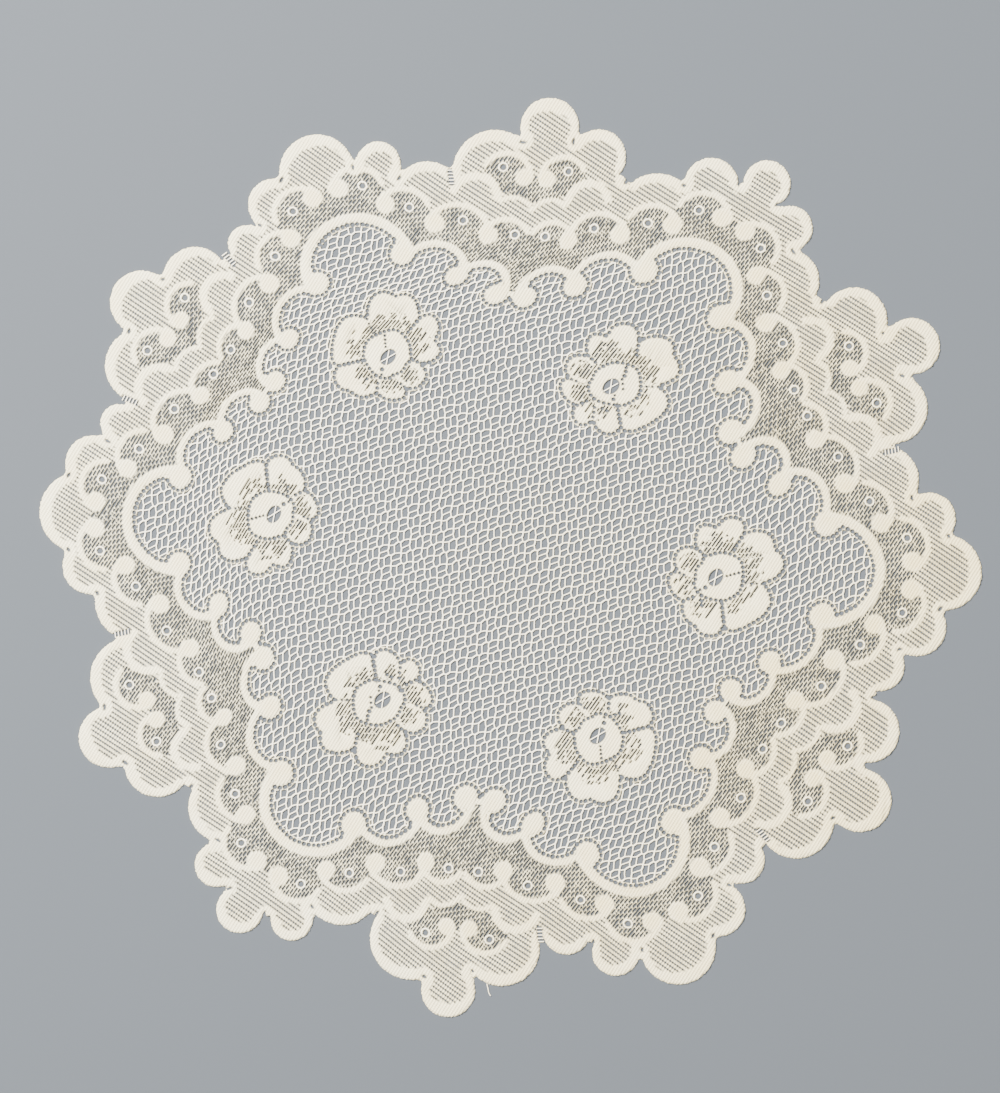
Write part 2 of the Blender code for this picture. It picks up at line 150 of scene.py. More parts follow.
CHAINED_ROSE = RoseKind(
    ((-10.6, 0.2), (-10.2, -3.5), (-8.8, -7.0), (-5.3, -8.9), (-2.1, -9.0), (0.2, -7.4), (2.5, -6.8),
     (5.0, -5.6), (6.7, -3.4), (8.6, -0.8), (9.4, 2.4), (8.8, 6.2), (7.6, 9.2), (4.6, 10.6), (0.6, 11.0),
     (-3.2, 10.8), (-6.8, 9.6), (-8.5, 7.3), (-11.0, 4.2)),
    ((3.2, 4.8, 0.78), (5.3, 5.4, 0.7), (7.1, 5.5, 0.6), (-8.1, 0.5, 0.72), (-6.2, 1.0, 0.4),
     (-3.0, 4.2, 0.44), (-0.6, 4.1, 0.44), (1.5, 3.9, 0.5), (-13.6, -2.2, 0.62), (-12.8, -3.8, 0.6)),
    (-2.2, -0.3, 3.9, 2.6, 33.0),
    (((-6.7, -2.0), (-12.5, -6.0), (-17.5, -6.8), (-21.6, -5.8), (-23.8, -3.2), (-23.8, -0.2),
      (-21.6, 2.2), (-6.3, 1.6)),
     ((-6.7, -5.0), (-8.6, -9.4), (-12.0, -13.2), (-15.6, -14.4), (-19.4, -13.6), (-20.8, -10.8),
      (-19.0, -8.4), (-12.5, -6.2)),
     ((12.0, 11.6), (14.0, 22.6), (17.2, 23.4), (20.8, 22.4), (22.5, 19.0), (21.8, 14.8), (18.4, 11.2)),
     ((14.0, 4.0), (18.6, 9.2), (22.6, 9.8), (26.4, 8.8), (27.3, 5.0), (25.4, 1.2), (19.6, -0.6))),
    (((13.6, 9.4), (20.0, 10.6), 0.76), ((-12.6, -6.6), (-19.4, -7.7), 0.62)),
)
RING_INSET = 9.5            # the fans of slits start about here
RING_HOLE = 0.70            # half a pinhole of the ring, across
RING_STEP = 2.0
DOT_SPREAD = (0.85, 0.3)    # of a pinhole's size, as PINHOLE_SPREAD
CUP_REACH = 9.3
CUP_EASE = 1.5              # the petals run into the cup over this width
CUP_CROSS = ((52.0, 3.5), (8.0, 4.3))       # two threads cross the hole: turn, half length
CUP_CROSS_OFF = (-0.4, -0.2)    # from the middle of the hole
PETAL_EASE = -0.05          # how far a petal is worked past its outline; below zero, it ends short
PETAL_MEETING = 1.2         # petals run together over this width
ROSE_STEPS = (110, 80)      # steps of the grid to each side of a rose's middle
ROSE_SLITS = (0.41, 0.30, 7)    # half a pillar, half a closing, courses to a slit
ROSE_LOOSE = 0.5            # this share of the slits runs on into the next
ON_ROSE = 30.0              # a rose and its beaded edge lie within this reach
NEAR_ROSE = 36.0
# Slits between the pillars of the petals: turn, how far out they reach, share that is open.
SLIT_FANS = (
    (0.0, 21.0, 0.95), (12.0, 20.5, 1.0), (25.0, 18.5, 1.0), (35.0, 19.5, 1.0), (45.0, 21.5, 1.0),
    (62.0, 20.5, 1.0), (78.0, 20.0, 1.0), (92.0, 16.0, 1.0), (110.0, 16.5, 0.85), (130.0, 18.0, 0.8),
    (150.0, 18.5, 0.8), (170.0, 16.0, 0.7), (178.0, 13.0, 0.6), (190.0, 19.5, 0.95), (210.0, 20.5, 1.0),
    (225.0, 16.5, 0.9), (240.0, 18.5, 1.0), (258.0, 18.0, 1.0), (272.0, 16.5, 1.0), (290.0, 17.0, 1.0),
    (305.0, 15.5, 1.0), (318.0, 13.0, 0.6), (332.0, 16.0, 0.9), (345.0, 19.0, 1.0),
)

# Slits between two scallops that only ladder threads cross: their middles.
LADDERS = ((-18.5, 154.6), (166.7, 39.5), (112.6, -121.8), (18.9, -163.8), (-156.7, -37.0),
           (-153.3, 60.9), (-111.7, 120.1))
LADDER_LENGTH = 7.0
LADDER_WIDTH = 2.0
LADDER_STEP = 1.4
LADDER_RUNGS = (-2, -1, 0, 1, 2)
RUNG_LAP = 0.3              # a rung reaches this far into the cloth
RUNG_SLANT = 0.1
NEAR_LADDER = 6.0           # a notch this close to a ladder has no slot of its own

# One cut thread end sticks out past the edge.
LOOSE_END = ((-3.4, -184.2), (-2.9, -186.4), (-2.6, -188.0), (-1.9, -189.3))

# The six roses. across and up give the middle, wide and tall stretch the drawing.
Rose = namedtuple("Rose", "across up turn mirrored wide tall kind")
ROSES = (
    Rose(-44.9, 79.8, 30.0, False, 0.98, 0.98, PLAIN_ROSE),
    Rose(49.1, 68.5, -87.0, True, 0.94, 1.08, CHAINED_ROSE),
    Rose(93.7, -13.4, -90.0, True, 1.02, 1.03, PLAIN_ROSE),
    Rose(43.3, -81.1, -150.0, False, 1.01, 1.03, PLAIN_ROSE),
    Rose(-47.5, -67.2, 93.0, True, 0.99, 1.06, CHAINED_ROSE),
    Rose(-93.7, 12.6, 90.0, True, 1.02, 0.97, PLAIN_ROSE),
)

# The lace lies a little pulled: skewed as a whole, the border unevenly.
BORDER_SKEW = ((1.009, 0.094), (-0.079, 0.983))
BORDER_SHIFT = (1.65, -1.43)
MIDDLE_SKEW = ((1.035, 0.038), (-0.134, 0.955))
MIDDLE_SHIFT = (-0.2, -0.1)
MIDDLE_REACH = 94.0
BORDER_REACH = 139.0
PULL_PITCH = 15.0
PULLS = np.array((
    (3.0, 1.9), (1.2, 2.4), (1.9, 2.5), (1.0, 0.8), (-1.2, -0.3), (-2.6, 0.5),
    (-3.7, -0.3), (-3.2, 2.1), (-0.5, 1.8), (3.7, 1.4), (2.9, 0.1), (3.0, -0.3),
    (-1.0, -0.8), (-2.6, -0.6), (-3.1, 1.1), (-2.9, -0.3), (-3.4, 0.3), (-2.0, -0.2),
    (0.3, -2.1), (-0.3, -2.1), (2.9, -3.4), (2.6, -2.5), (1.9, -1.1), (2.4, 0.6),
))

# The machine's own axes: courses run along s, wales (the knitted pillars) along t.
COURSE_TURN = -30.0
WALE_PITCH = 1.22
ROSE_GRID = (WALE_PITCH / 4.0, 0.42)
COURSE_PITCH = 0.86         # ridges of stitches in the close cloth
STITCH_LEAN = 2.0           # they lie this many degrees off the courses
HOLE_PITCH = 1.83           # rows of pinholes, along the wales
PINHOLE = (0.57, 0.36)      # half a pinhole of the close cloth, across and along
PINHOLE_SPREAD = (0.84, 0.22)   # its share of that: the least, and how much more by chance
PINHOLE_FADE = (0.8, 0.12)  # and its share beside solid work, and more for each mm away
PINHOLE_WALL = 0.30         # depth gained over half a pinhole
CLOTH_DEPTH = 0.4           # and at most
SLIT_COURSES = 5            # a slit of the fine net is this many courses long
FINE_SLITS = (0.28, 0.20, SLIT_COURSES)     # as ROSE_SLITS
FINE_LOOSE = 0.16
PILLAR_STRAY = 0.16         # a pillar is wider or narrower by up to this
EXTRA_LUCK = 0.9            # above this a slit is closed once more, EXTRA_COURSES on,
EXTRA_COURSES = 2.0         # by EXTRA_SHARE of a closing
EXTRA_SHARE = 0.9
PILLAR_LEAN = 0.07          # its pillars lean this far towards their closings
LEAN_START = 0.3            # from this far outside solid work
GRID_S = WALE_PITCH / 2.0
GRID_T = 0.61
LACE_REACH = 214.0

# The open net: the size of one repeat, where one starts, and the threads in it.
NET_REPEAT = (5.71, 7.57)
NET_START = (1.98, -6.61)
THICK, LIGHT, BAR = 0, 1, 2
# Each kind's width setting, half its height, the height of its middle, its piece.
THREAD_KINDS = (("thick_thread", 0.30, 0.52, "open_net"), ("light_thread", 0.24, 0.46, "open_net"),
                ("bar_thread", 0.20, 0.42, "net_bars"))
NET_THREADS = (
    (THICK, ((2.10, 1.25), (1.70, -0.27))),
    (THICK, ((1.70, -0.27), (1.28, -0.55), (0.76, -0.67))),
    (THICK, ((0.76, -0.67), (0.30, -1.80), (0.06, -2.98))),
    (THICK, ((3.20, -2.46), (3.59, -3.49), (4.00, -4.50))),
    (THICK, ((4.00, -4.50), (4.62, -5.45), (5.00, -6.67))),
    (LIGHT, ((1.70, -0.27), (2.06, -1.03), (2.52, -1.75), (3.20, -2.46))),
    (LIGHT, ((5.00, -6.67), (5.63, -7.36), (6.47, -8.24))),
    (LIGHT, ((4.00, -4.50), (4.67, -4.13), (5.27, -3.45), (5.77, -2.98))),
    (LIGHT, ((2.10, -6.32), (2.67, -5.65), (3.31, -4.94), (4.00, -4.50))),
    (BAR, ((0.06, -2.98), (1.04, -4.67), (2.10, -6.32))),
    (BAR, ((3.20, -2.46), (4.10, -0.78), (5.00, 0.90))),
)

NET_REACH = 176.0
RIPPLE = 0.26               # the net's threads stray by this much from one to the next
SLOW_DRIFT = 0.5            # and by this much over a few repeats
CALM_REACH = 4.0            # less and less so this close to a motif
# Single threads: half width, half height, height of the middle.
RING_THREAD = (0.36, 0.40, 0.56)
CROSS_THREAD = (0.24, 0.20, 0.5)
RUNG_THREAD = (0.24, 0.22, 0.5)
LOOSE_THREAD = (0.22, 0.20, 0.4)

ROUNDING = 0.30             # a worked edge rolls down over this width
MOTIF_RISE = 1.1            # and a motif rises over this width
BAND_EASE = 0.8             # bands run together over this width
PAINTED_SHADE_REACH = 0.30         # painted shade darkens the yarn this far in round a hole, where little light reaches
PAINTED_SHADE_EASE = 0.65
EDGE_BRIGHT = 1.0           # but no shade is painted round the doily's edge, where enough light reaches
MOTIF_CREAM = 0.35          # motifs are creamier by up to this much
SCROLL_CREAM = 4.0          # at this depth in a scroll
HOOK_CREAM = 3.0            # or in a hook
EDGE_TEETH = 0.42           # the cut edge steps in by up to this much
FLAT_DEPTH = 1.0            # deeper than this in the cloth and than FLAT_SOLID in solid
FLAT_SOLID = 1.7            # work, faces within FLAT_LIMIT of each other are one
FLAT_LIMIT = math.radians(0.3)
FEWEST_FACES = 60           # a part of the cloth with fewer faces than this is a scrap

BEAD_STEP = 2.08            # spacing of the beaded holes along a motif in the open net
BEAD_OUT = 0.88             # middles of the beaded holes, from the motif
BEAD_HOLE = 0.78            # half a beaded hole, across
BEAD_SPREAD = (0.82, 0.36)  # of that size, as PINHOLE_SPREAD
BEAD_STRAY = 0.22           # its middle strays by up to half of this
BEAD_WINDOW = 1.6           # a beaded hole is cut within this reach
EDGE_GAP = 1.72             # the net's edge thread lies this far from the motif
EDGE_CORD = 0.26            # and reaches this far to each side
EDGE_LAP = 2                # the beaded strip runs this many grid steps under the motif
EDGE_GRID = 0.34
SHORTEST_LINE = 20          # a line of beads has more points than this

COTTON_IOR = 1.53
MIX_FACTOR, MIX_A, MIX_B, MIX_RESULT = 0, 6, 7, 2       # colour sockets of a mix node

# The camera's view in pixels, the pattern's middle in it, and how much of the table a pixel shows.
VIEW_PIXELS = (1000, 1093)
PATTERN_MIDDLE = (495.0, 545.0)
MM_PER_PIXEL = 0.42
# In metres: the camera's height, the floor's side, and the lights (name, watts, size, place).
CAMERA_HEIGHT = 1.8
FLOOR_SIZE = 6.0
LAMPS = (("window_light", 262.0, 0.7, (-1.0, 0.85, 1.5)), ("fill_light", 50.0, 1.6, (1.1, -0.8, 1.5)))
ROOM_COLOUR = "#EFEFEF"
ROOM_LIGHT = 0.75

TINY = 1e-6
FAR = 1e3
DEEP = 30.0                 # depths of the edge past this aren't told apart
CROSSING = (0.06, 0.94)     # an outline crosses a side of its grid between these shares
SEED = 11
# Where each use of the dice starts in its rows or columns.
FAN_DICE, WIDTH_DICE, DOT_DICE, BEAD_DICE, NOTCH_DICE = 90, 300, 40, 60, 70
DICE_SIDES = 1024
DICE = np.random.default_rng(SEED).random((DICE_SIDES, DICE_SIDES))


# ------------------------------------------------------------- laying it out
def turned(x, y, turn_deg):
    turn = np.radians(turn_deg)
    return x * np.cos(turn) - y * np.sin(turn), x * np.sin(turn) + y * np.cos(turn)


def heading(x, y):
    """Turn of a direction in degrees, anticlockwise from +X."""
    return np.degrees(np.arctan2(y, x))


def around(items):
    """Each item with the next one, round to the first."""
    return list(zip(items, items[1:] + items[:1]))


def skewed(x, y, matrix, shift=(0.0, 0.0)):
    return (matrix[0][0] * x + matrix[0][1] * y + shift[0],
            matrix[1][0] * x + matrix[1][1] * y + shift[1])


def unskewed(x, y, matrix):
    (a, b), (c, d) = matrix
    det = a * d - b * c
    return (d * x - b * y) / det, (a * y - c * x) / det


def off_machine(s, t):
    """From the machine's axes to the even pattern."""
    return turned(s, t, COURSE_TURN)


def onto_machine(x, y):
    return turned(x, y, -COURSE_TURN)


def drift(x, y):
    """The small unevenness of a net that has been washed and handled, in mm."""
    ripple_x = np.sin(x / 2.9 + 0.7 * y / 4.1) * np.cos(y / 3.7)
    ripple_y = np.sin(y / 3.1 - 0.6 * x / 3.9) * np.cos(x / 3.3)
    slow_x = np.sin(y / 11.0 + 1.3) * np.sin(x / 14.0)
    slow_y = np.sin(x / 12.0 + 0.4) * np.cos(y / 13.0)
    return RIPPLE * ripple_x + SLOW_DRIFT * slow_x, RIPPLE * ripple_y + SLOW_DRIFT * slow_y


def eased(share):
    """0 to 1 with a level start and end."""
    return share * share * (3.0 - 2.0 * share)


def pulled(x, y):
    """Where points of the even pattern lie in the pulled cloth."""
    turn = heading(x, y)
    place = (turn % 360.0) / PULL_PITCH
    row = np.floor(place).astype(int)
    share = (place - row)[..., None]
    before, here, after, beyond = (PULLS[(row + i) % len(PULLS)] for i in (-1, 0, 1, 2))
    pull = 0.5 * (2 * here + (after - before) * share
                  + (2 * before - 5 * here + 4 * after - beyond) * share ** 2
                  + (3 * here - before - 3 * after + beyond) * share ** 3)
    pull_x, pull_y = turned(pull[..., 0], pull[..., 1], turn)
    border_x, border_y = skewed(x, y, BORDER_SKEW, BORDER_SHIFT)
    middle_x, middle_y = skewed(x, y, MIDDLE_SKEW, MIDDLE_SHIFT)
    blend = eased(np.clip((np.hypot(x, y) - MIDDLE_REACH) / (BORDER_REACH - MIDDLE_REACH), 0.0, 1.0))
    return (middle_x + (border_x + pull_x - middle_x) * blend,
            middle_y + (border_y + pull_y - middle_y) * blend)


def folded(x, y):
    """Every point brought onto the right half of the crown at +Y."""
    crown = np.round((heading(x, y) - 90.0) / CROWN_PITCH)
    x, y = turned(x, y, -crown * CROWN_PITCH)
    return np.abs(x), y


def joined(a, b, soft=1.0):
    """Greater of two depths, with a soft fillet where they are about equal."""
    near = np.maximum(soft - np.abs(a - b), 0.0) / soft
    return np.maximum(a, b) + near * near * soft * 0.25


def band_depth(x, y, row):
    """How deep a point lies in a band and its bulb, in mm; negative outside."""
    across, outward, reach, band, bulb, start, end = row
    dx, dy = x - across, y - outward
    off = (heading(dx, dy) - (start + end) / 2.0 + 180.0) % 360.0 - 180.0
    middle = reach - band / 2.0
    depth = band / 2.0 - np.abs(np.hypot(dx, dy) - middle)
    ends = [turned(middle, 0.0, turn) for turn in (start, end)]
    tips = [band / 2.0 - np.hypot(dx - tip_x, dy - tip_y) for tip_x, tip_y in ends]
    depth = np.where(np.abs(off) <= abs(end - start) / 2.0, depth, np.maximum(*tips))
    if bulb:
        bulb_x, bulb_y = turned(reach - bulb, 0.0, start)
        depth = joined(depth, bulb - np.hypot(dx - bulb_x, dy - bulb_y))
    return depth


def reflections(x, y):
    """The same point, mirrored in its crown's middle, and seen from the neighbouring crown."""
    ux, uy = turned(0.0, 1.0, -HALF_PITCH)
    along = x * ux + y * uy
    return (x, y), (-x, y), (2.0 * along * ux - x, 2.0 * along * uy - y)


def bands_depth(x, y, rows):
    depth = np.full(x.shape, -FAR)
    for row in rows:
        for place in reflections(x, y):
            depth = joined(depth, band_depth(*place, row), BAND_EASE)
    return depth


def frame_depth(x, y):
    fx, fy = turned(x, y, HALF_PITCH)
    return np.maximum(band_depth(fx, fy, FRAME_SCROLL), band_depth(-fx, fy, FRAME_SCROLL))


def within_rounds(x, y, rounds):
    """Positive inside a field that ends in rounds (across, outward, size)."""
    line = np.interp(x, [r[0] for r in rounds], [r[1] for r in rounds]) - y
    for across, outward, size in rounds:
        for px, py in reflections(x, y):
            line = np.maximum(line, size - np.hypot(px - across, py - outward))
    return line


def rounds_of(rows):
    return [(row[0], row[1], row[2] - row[3] / 2.0) for row in rows]


def within_net(x, y):
    fx, fy = turned(0.0, FRAME_SCROLL[1], -HALF_PITCH)
    return within_rounds(x, y, rounds_of(SCROLLS) + [(fx, fy, FRAME_SCROLL[2] - FRAME_SCROLL[3] / 2.0)])


def within_crown(x, y):
    across, outward, reach, band = CROWN_HOOK[:4]
    floor = y - np.interp(x, [p[0] for p in CROWN_FIELD], [p[1] for p in CROWN_FIELD])
    top = np.maximum(reach - band / 2.0 - np.hypot(x - across, y - outward),
                     np.minimum(outward - y, across - x))
    return np.minimum(floor, top)


def meeting(a, b):
    """Where two rounds of the edge cross, on the outer side."""
    (ax, ay, ar), (bx, by, br) = a, b
    gap = math.hypot(bx - ax, by - ay)
    along = (gap * gap + ar * ar - br * br) / (2.0 * gap)
    height = math.sqrt(max(ar * ar - along * along, 0.0))
    ux, uy = (bx - ax) / gap, (by - ay) / gap
    foot_x, foot_y = ax + ux * along, ay + uy * along
    side = math.copysign(height, -uy * foot_x + ux * foot_y)
    return foot_x - uy * side, foot_y + ux * side


def edge_rounds():
    """Rounds of the edge, and the notch that follows each."""
    rounds = [(*turned(reach, 0.0, turn), size) for turn, reach, size in SCALLOPS]
    return rounds, [meeting(a, b) for a, b in around(rounds)]


def edge_and_rim(px, py):
    """Depth inside the doily's edge, and inside the close-worked rim, at real places."""
    rounds, notches = edge_rounds()
    across, outward, _ = np.array(rounds).T
    heads = heading(across, outward)
    order = np.argsort(heads)
    reach = np.interp(heading(px, py), heads[order], np.hypot(across, outward)[order], period=360.0)
    inside = np.hypot(px, py) < reach
    nearest = np.full(px.shape, DEEP)
    rim = np.full(px.shape, -DEEP)
    for i, (cx, cy, size) in enumerate(rounds):
        close = np.maximum(np.abs(px - cx), np.abs(py - cy)) < size + NEAR_SCALLOP
        dx, dy = px[close] - cx, py[close] - cy
        gap = np.hypot(dx, dy)
        head = heading(dx, dy)
        first, last = notches[i - 1], notches[i]
        start = heading(first[0] - cx, first[1] - cy)
        sweep = (start - heading(last[0] - cx, last[1] - cy)) % 360.0
        ends = np.minimum(np.hypot(px[close] - first[0], py[close] - first[1]),
                          np.hypot(px[close] - last[0], py[close] - last[1]))
        away = np.where((start - head) % 360.0 <= sweep, np.abs(gap - size), ends)
        nearest[close] = np.minimum(nearest[close], away)
        upward = np.clip(np.cos(np.radians(head - SCALLOPS[i][0])), 0.0, 1.0) ** 2
        width = RIM_SIDE + (RIM_TOPS[i % len(RIM_TOPS)] - RIM_SIDE) * upward
        rim[close] = joined(rim[close], np.minimum(width, RIM_MOST * size) - away, RIM_EASE)
        inside[close] |= gap < size
    edge = np.where(inside, nearest, -nearest)
    for notch, pair in zip(notches, around(rounds)):
        close = np.hypot(px - notch[0], py - notch[1]) < NEAR_NOTCH
        both = [size - np.hypot(px[close] - cx, py[close] - cy) for cx, cy, size in pair]
        edge[close] = np.maximum(edge[close], joined(*both, NOTCH_EASE))
    return edge, rim


def notch_holes(px, py):
    """Distance from the small slot that lies across the foot of each notch."""
    rounds, notches = edge_rounds()
    hole = np.full(px.shape, FAR)
    for i, (notch, ((ax, ay, _), (bx, by, _))) in enumerate(zip(notches, around(rounds))):
        if min(math.dist(notch, ladder) for ladder in LADDERS) < NEAR_LADDER:
            continue
        inward = heading((ax + bx) / 2.0 - notch[0], (ay + by) / 2.0 - notch[1])
        close = np.hypot(px - notch[0], py - notch[1]) < NEAR_NOTCH
        along, across = turned(px[close] - notch[0], py[close] - notch[1], -inward)
        half = NOTCH_SLOT[1] * varied(NOTCH_SPREAD, i, NOTCH_DICE)
        slot = (np.hypot((along - NOTCH_IN) / NOTCH_SLOT[0], across / half) - 1.0) * NOTCH_SLOT[0]
        hole[close] = np.minimum(hole[close], slot)
    return hole


def on_ladder(px, py, ladder):
    """Places along a ladder, which points away from the middle, and across it."""
    along, across = turned(px, py, -heading(*ladder))
    return along - math.hypot(*ladder), across


def polygon_depth(x, y, corners):
    """Depth inside a closed outline, in mm; negative outside."""
    nearest = np.full(x.shape, FAR)
    inside = np.zeros(x.shape, bool)
    for (ax, ay), (bx, by) in around(corners):
        ex, ey = bx - ax, by - ay
        share = np.clip(((x - ax) * ex + (y - ay) * ey) / (ex * ex + ey * ey), 0.0, 1.0)
        nearest = np.minimum(nearest, np.hypot(x - ax - ex * share, y - ay - ey * share))
        if ay != by:
            inside ^= ((ay > y) != (by > y)) & (x < ax + ex * (y - ay) / (by - ay))
    return np.where(inside, nearest, -nearest)


def softened(corners, rounds=2):
    """The outline with its corners cut round."""
    for _ in range(rounds):
        corners = [p for (ax, ay), (bx, by) in around(corners)
                   for p in ((0.75 * ax + 0.25 * bx, 0.75 * ay + 0.25 * by),
                             (0.25 * ax + 0.75 * bx, 0.25 * ay + 0.75 * by))]
    return corners


def onto_rose(px, py, rose):
    """Real places in a rose's own drawing."""
    x, y = turned(*unskewed(px - rose.across, py - rose.up, MIDDLE_SKEW), -rose.turn)
    return (-x if rose.mirrored else x) / rose.wide, y / rose.tall


def off_rose(x, y, rose):
    """Places of a rose's own drawing, as real ones."""
    x, y = turned(-x * rose.wide if rose.mirrored else x * rose.wide, y * rose.tall, rose.turn)
    return skewed(x, y, MIDDLE_SKEW, (rose.across, rose.up))


def near_roses(px, py, reach):
    """Each rose's kind, which places are near it, and where those are in its own drawing."""
    for rose in ROSES:
        close = np.hypot(px - rose.across, py - rose.up) < reach
        yield rose.kind, close, onto_rose(px[close], py[close], rose)


def dotted(x, y, holes, spots, size):
    """Adds a round pinhole at each of the spots, each a little different."""
    for number, (spot_x, spot_y) in enumerate(spots):
        reach = size * varied(DOT_SPREAD, number, DOT_DICE)
        holes = np.minimum(holes, np.hypot(x - spot_x, y - spot_y) - reach)
    return holes


def rose_pinholes(x, y, kind):
    """Distance from a rose's pinholes: its seams, the ring round its cup and the cup's own."""
    holes = np.full(x.shape, FAR)
    for start, end, size in PETAL_SEAMS + kind.seams:
        count = max(2, round(math.dist(start, end) / BEAD_STEP) + 1)
        holes = dotted(x, y, holes, np.linspace(start, end, count), size)
    ring = softened(kind.ring)
    holes = dotted(x, y, holes, evened(np.array(ring + ring[:1]), RING_STEP)[:-1], RING_HOLE)
    for spot_x, spot_y, size in kind.pinholes:
        holes = np.minimum(holes, np.hypot(x - spot_x, y - spot_y) - size)
    middle_x, middle_y, long, wide, turn = kind.hole
    hole_x, hole_y = turned(x - middle_x, y - middle_y, -turn)
    return np.minimum(holes, (np.hypot(hole_x / long, hole_y / wide) - 1.0) * wide)


def rose_outline(x, y, kind):
    petals = np.full(x.shape, -FAR)
    for corners in PETALS + kind.petals:
        petals = joined(petals, polygon_depth(x, y, softened(corners)) + PETAL_EASE, PETAL_MEETING)
    return joined(petals, CUP_REACH - np.hypot(x, y), CUP_EASE)


def rose_depths(x, y, slits, kind):
    """Depth inside a rose's worked parts, and inside its whole outline."""
    outline = rose_outline(x, y, kind)
    beside_cup = polygon_depth(x, y, softened(kind.ring)) < -1.0
    worked = np.minimum(outline, np.where(beside_cup, slits, FAR))
    return np.minimum(worked, rose_pinholes(x, y, kind)), outline


# ------------------------------------------------------------ kinds of lace
def to_nearest(value, pitch, start=0.0):
    """Signed distance to the nearest of a row of places, and that place's number."""
    number = np.round((value - start) / pitch)
    return value - start - number * pitch, number.astype(int)


def chance(a, b):
    """An even chance, the same each time for the same two numbers."""
    return DICE[a % DICE_SIDES, b % DICE_SIDES]


def varied(spread, a, b):
    """The least share, and more by chance."""
    return spread[0] + spread[1] * chance(a, b)


def slit_net(s, t, pillar, closing, courses, step, loose, place=None):
    """Knitted pillars with a slit between each two, closed here and there."""
    off_wale, _ = to_nearest(s, WALE_PITCH)
    _, gap = to_nearest(s, WALE_PITCH, WALE_PITCH / 2.0)
    pitch = courses * step
    start = (gap * 2 % courses) * step
    number = np.round((t - start) / pitch).astype(int)
    off_closing = (t - start) - number * pitch
    luck = chance(gap, number)
    width = pillar + PILLAR_STRAY * (chance(gap + WIDTH_DICE, number) - 0.5)
    closed = np.where(luck < loose, -1.0, closing) - np.abs(off_closing)
    extra = np.where(luck > EXTRA_LUCK, closing * EXTRA_SHARE, -1.0)
    extra = extra - np.abs(off_closing - EXTRA_COURSES * step)
    lace = np.maximum(np.maximum(width - np.abs(off_wale), closed), extra)
    if place is not None:
        turns, reaches, shares = np.array(SLIT_FANS).T
        reach, share = (np.interp(heading(*place), turns, row, period=360.0) for row in (reaches, shares))
        out = np.clip((np.hypot(*place) - RING_INSET) / (reach - RING_INSET), 0.0, 1.0)
        slot = np.floor((t - start) / pitch).astype(int)
        lace = np.where(chance(gap + FAN_DICE, slot) > share * (1.0 - out ** 3), FAR, lace)
    return lace


def pinhole_cloth(s, t, fade):
    """Close cloth with a row of pinholes across every few courses."""
    off_gap, gap = to_nearest(s, WALE_PITCH, WALE_PITCH / 2.0)
    off_row, row = to_nearest(t, HOLE_PITCH)
    size = varied(PINHOLE_SPREAD, gap, row) * fade
    hole = (np.hypot(off_gap / PINHOLE[0], off_row / PINHOLE[1]) - size) * PINHOLE_WALL
    return np.minimum(hole, CLOTH_DEPTH)


def lace_fields(s, t):
    """Everything the cloth pieces need at the given places of the machine's axes."""
    x, y = off_machine(s, t)
    px, py = pulled(x, y)
    fx, fy = folded(x, y)
    edge, rim = edge_and_rim(px, py)
    net = within_net(fx, fy)
    fine = np.maximum(within_rounds(fx, fy, [FIELD_START] + rounds_of(HOOKS)), within_crown(fx, fy))
    scrolls = joined(bands_depth(fx, fy, SCROLLS), frame_depth(fx, fy), BAND_EASE)
    hooks = bands_depth(fx, fy, HOOKS + (CROWN_HOOK,) + INNER_RIMS)
    eyelet = np.min([np.hypot(fx - across, fy - outward) for across, outward in EYELETS], axis=0)
    return {"px": px, "py": py, "edge": edge, "rim": rim, "net": net, "fine": fine,
            "scrolls": scrolls, "hooks": hooks, "eyelet": eyelet}


def border_worked(s, t, f):
    """Depth of the worked cloth in the border, outside the open net, and of its solid work."""
    solid = joined(joined(f["rim"], f["hooks"]), f["scrolls"])
    ring = np.minimum(EYELET_RING - f["eyelet"], f["eyelet"] - EYELET_HOLE)
    fade = np.clip(PINHOLE_FADE[0] - PINHOLE_FADE[1] * np.maximum(f["rim"], f["hooks"]), 0.0, 1.0)
    ground = np.where(f["fine"] > 0.0, slit_net(s, t, *FINE_SLITS, GRID_T, FINE_LOOSE),
                      pinhole_cloth(s, t, fade))
    ground = np.where(f["net"] > 0.0, -1.0, ground)
    worked = np.maximum(np.maximum(solid, ground), ring)
    worked = np.where(f["eyelet"] < EYELET_RING, ring, worked)
    for ladder in LADDERS:
        along, across = on_ladder(f["px"], f["py"], ladder)
        worked = np.minimum(worked, -np.minimum(LADDER_LENGTH / 2.0 - np.abs(along),
                                                LADDER_WIDTH / 2.0 - np.abs(across)))
    worked = np.minimum(worked, notch_holes(f["px"], f["py"]))
    _, i = to_nearest(s, GRID_S)
    _, j = to_nearest(t, GRID_T)
    return np.minimum(worked, f["edge"] - EDGE_TEETH * chance(i, j)), solid


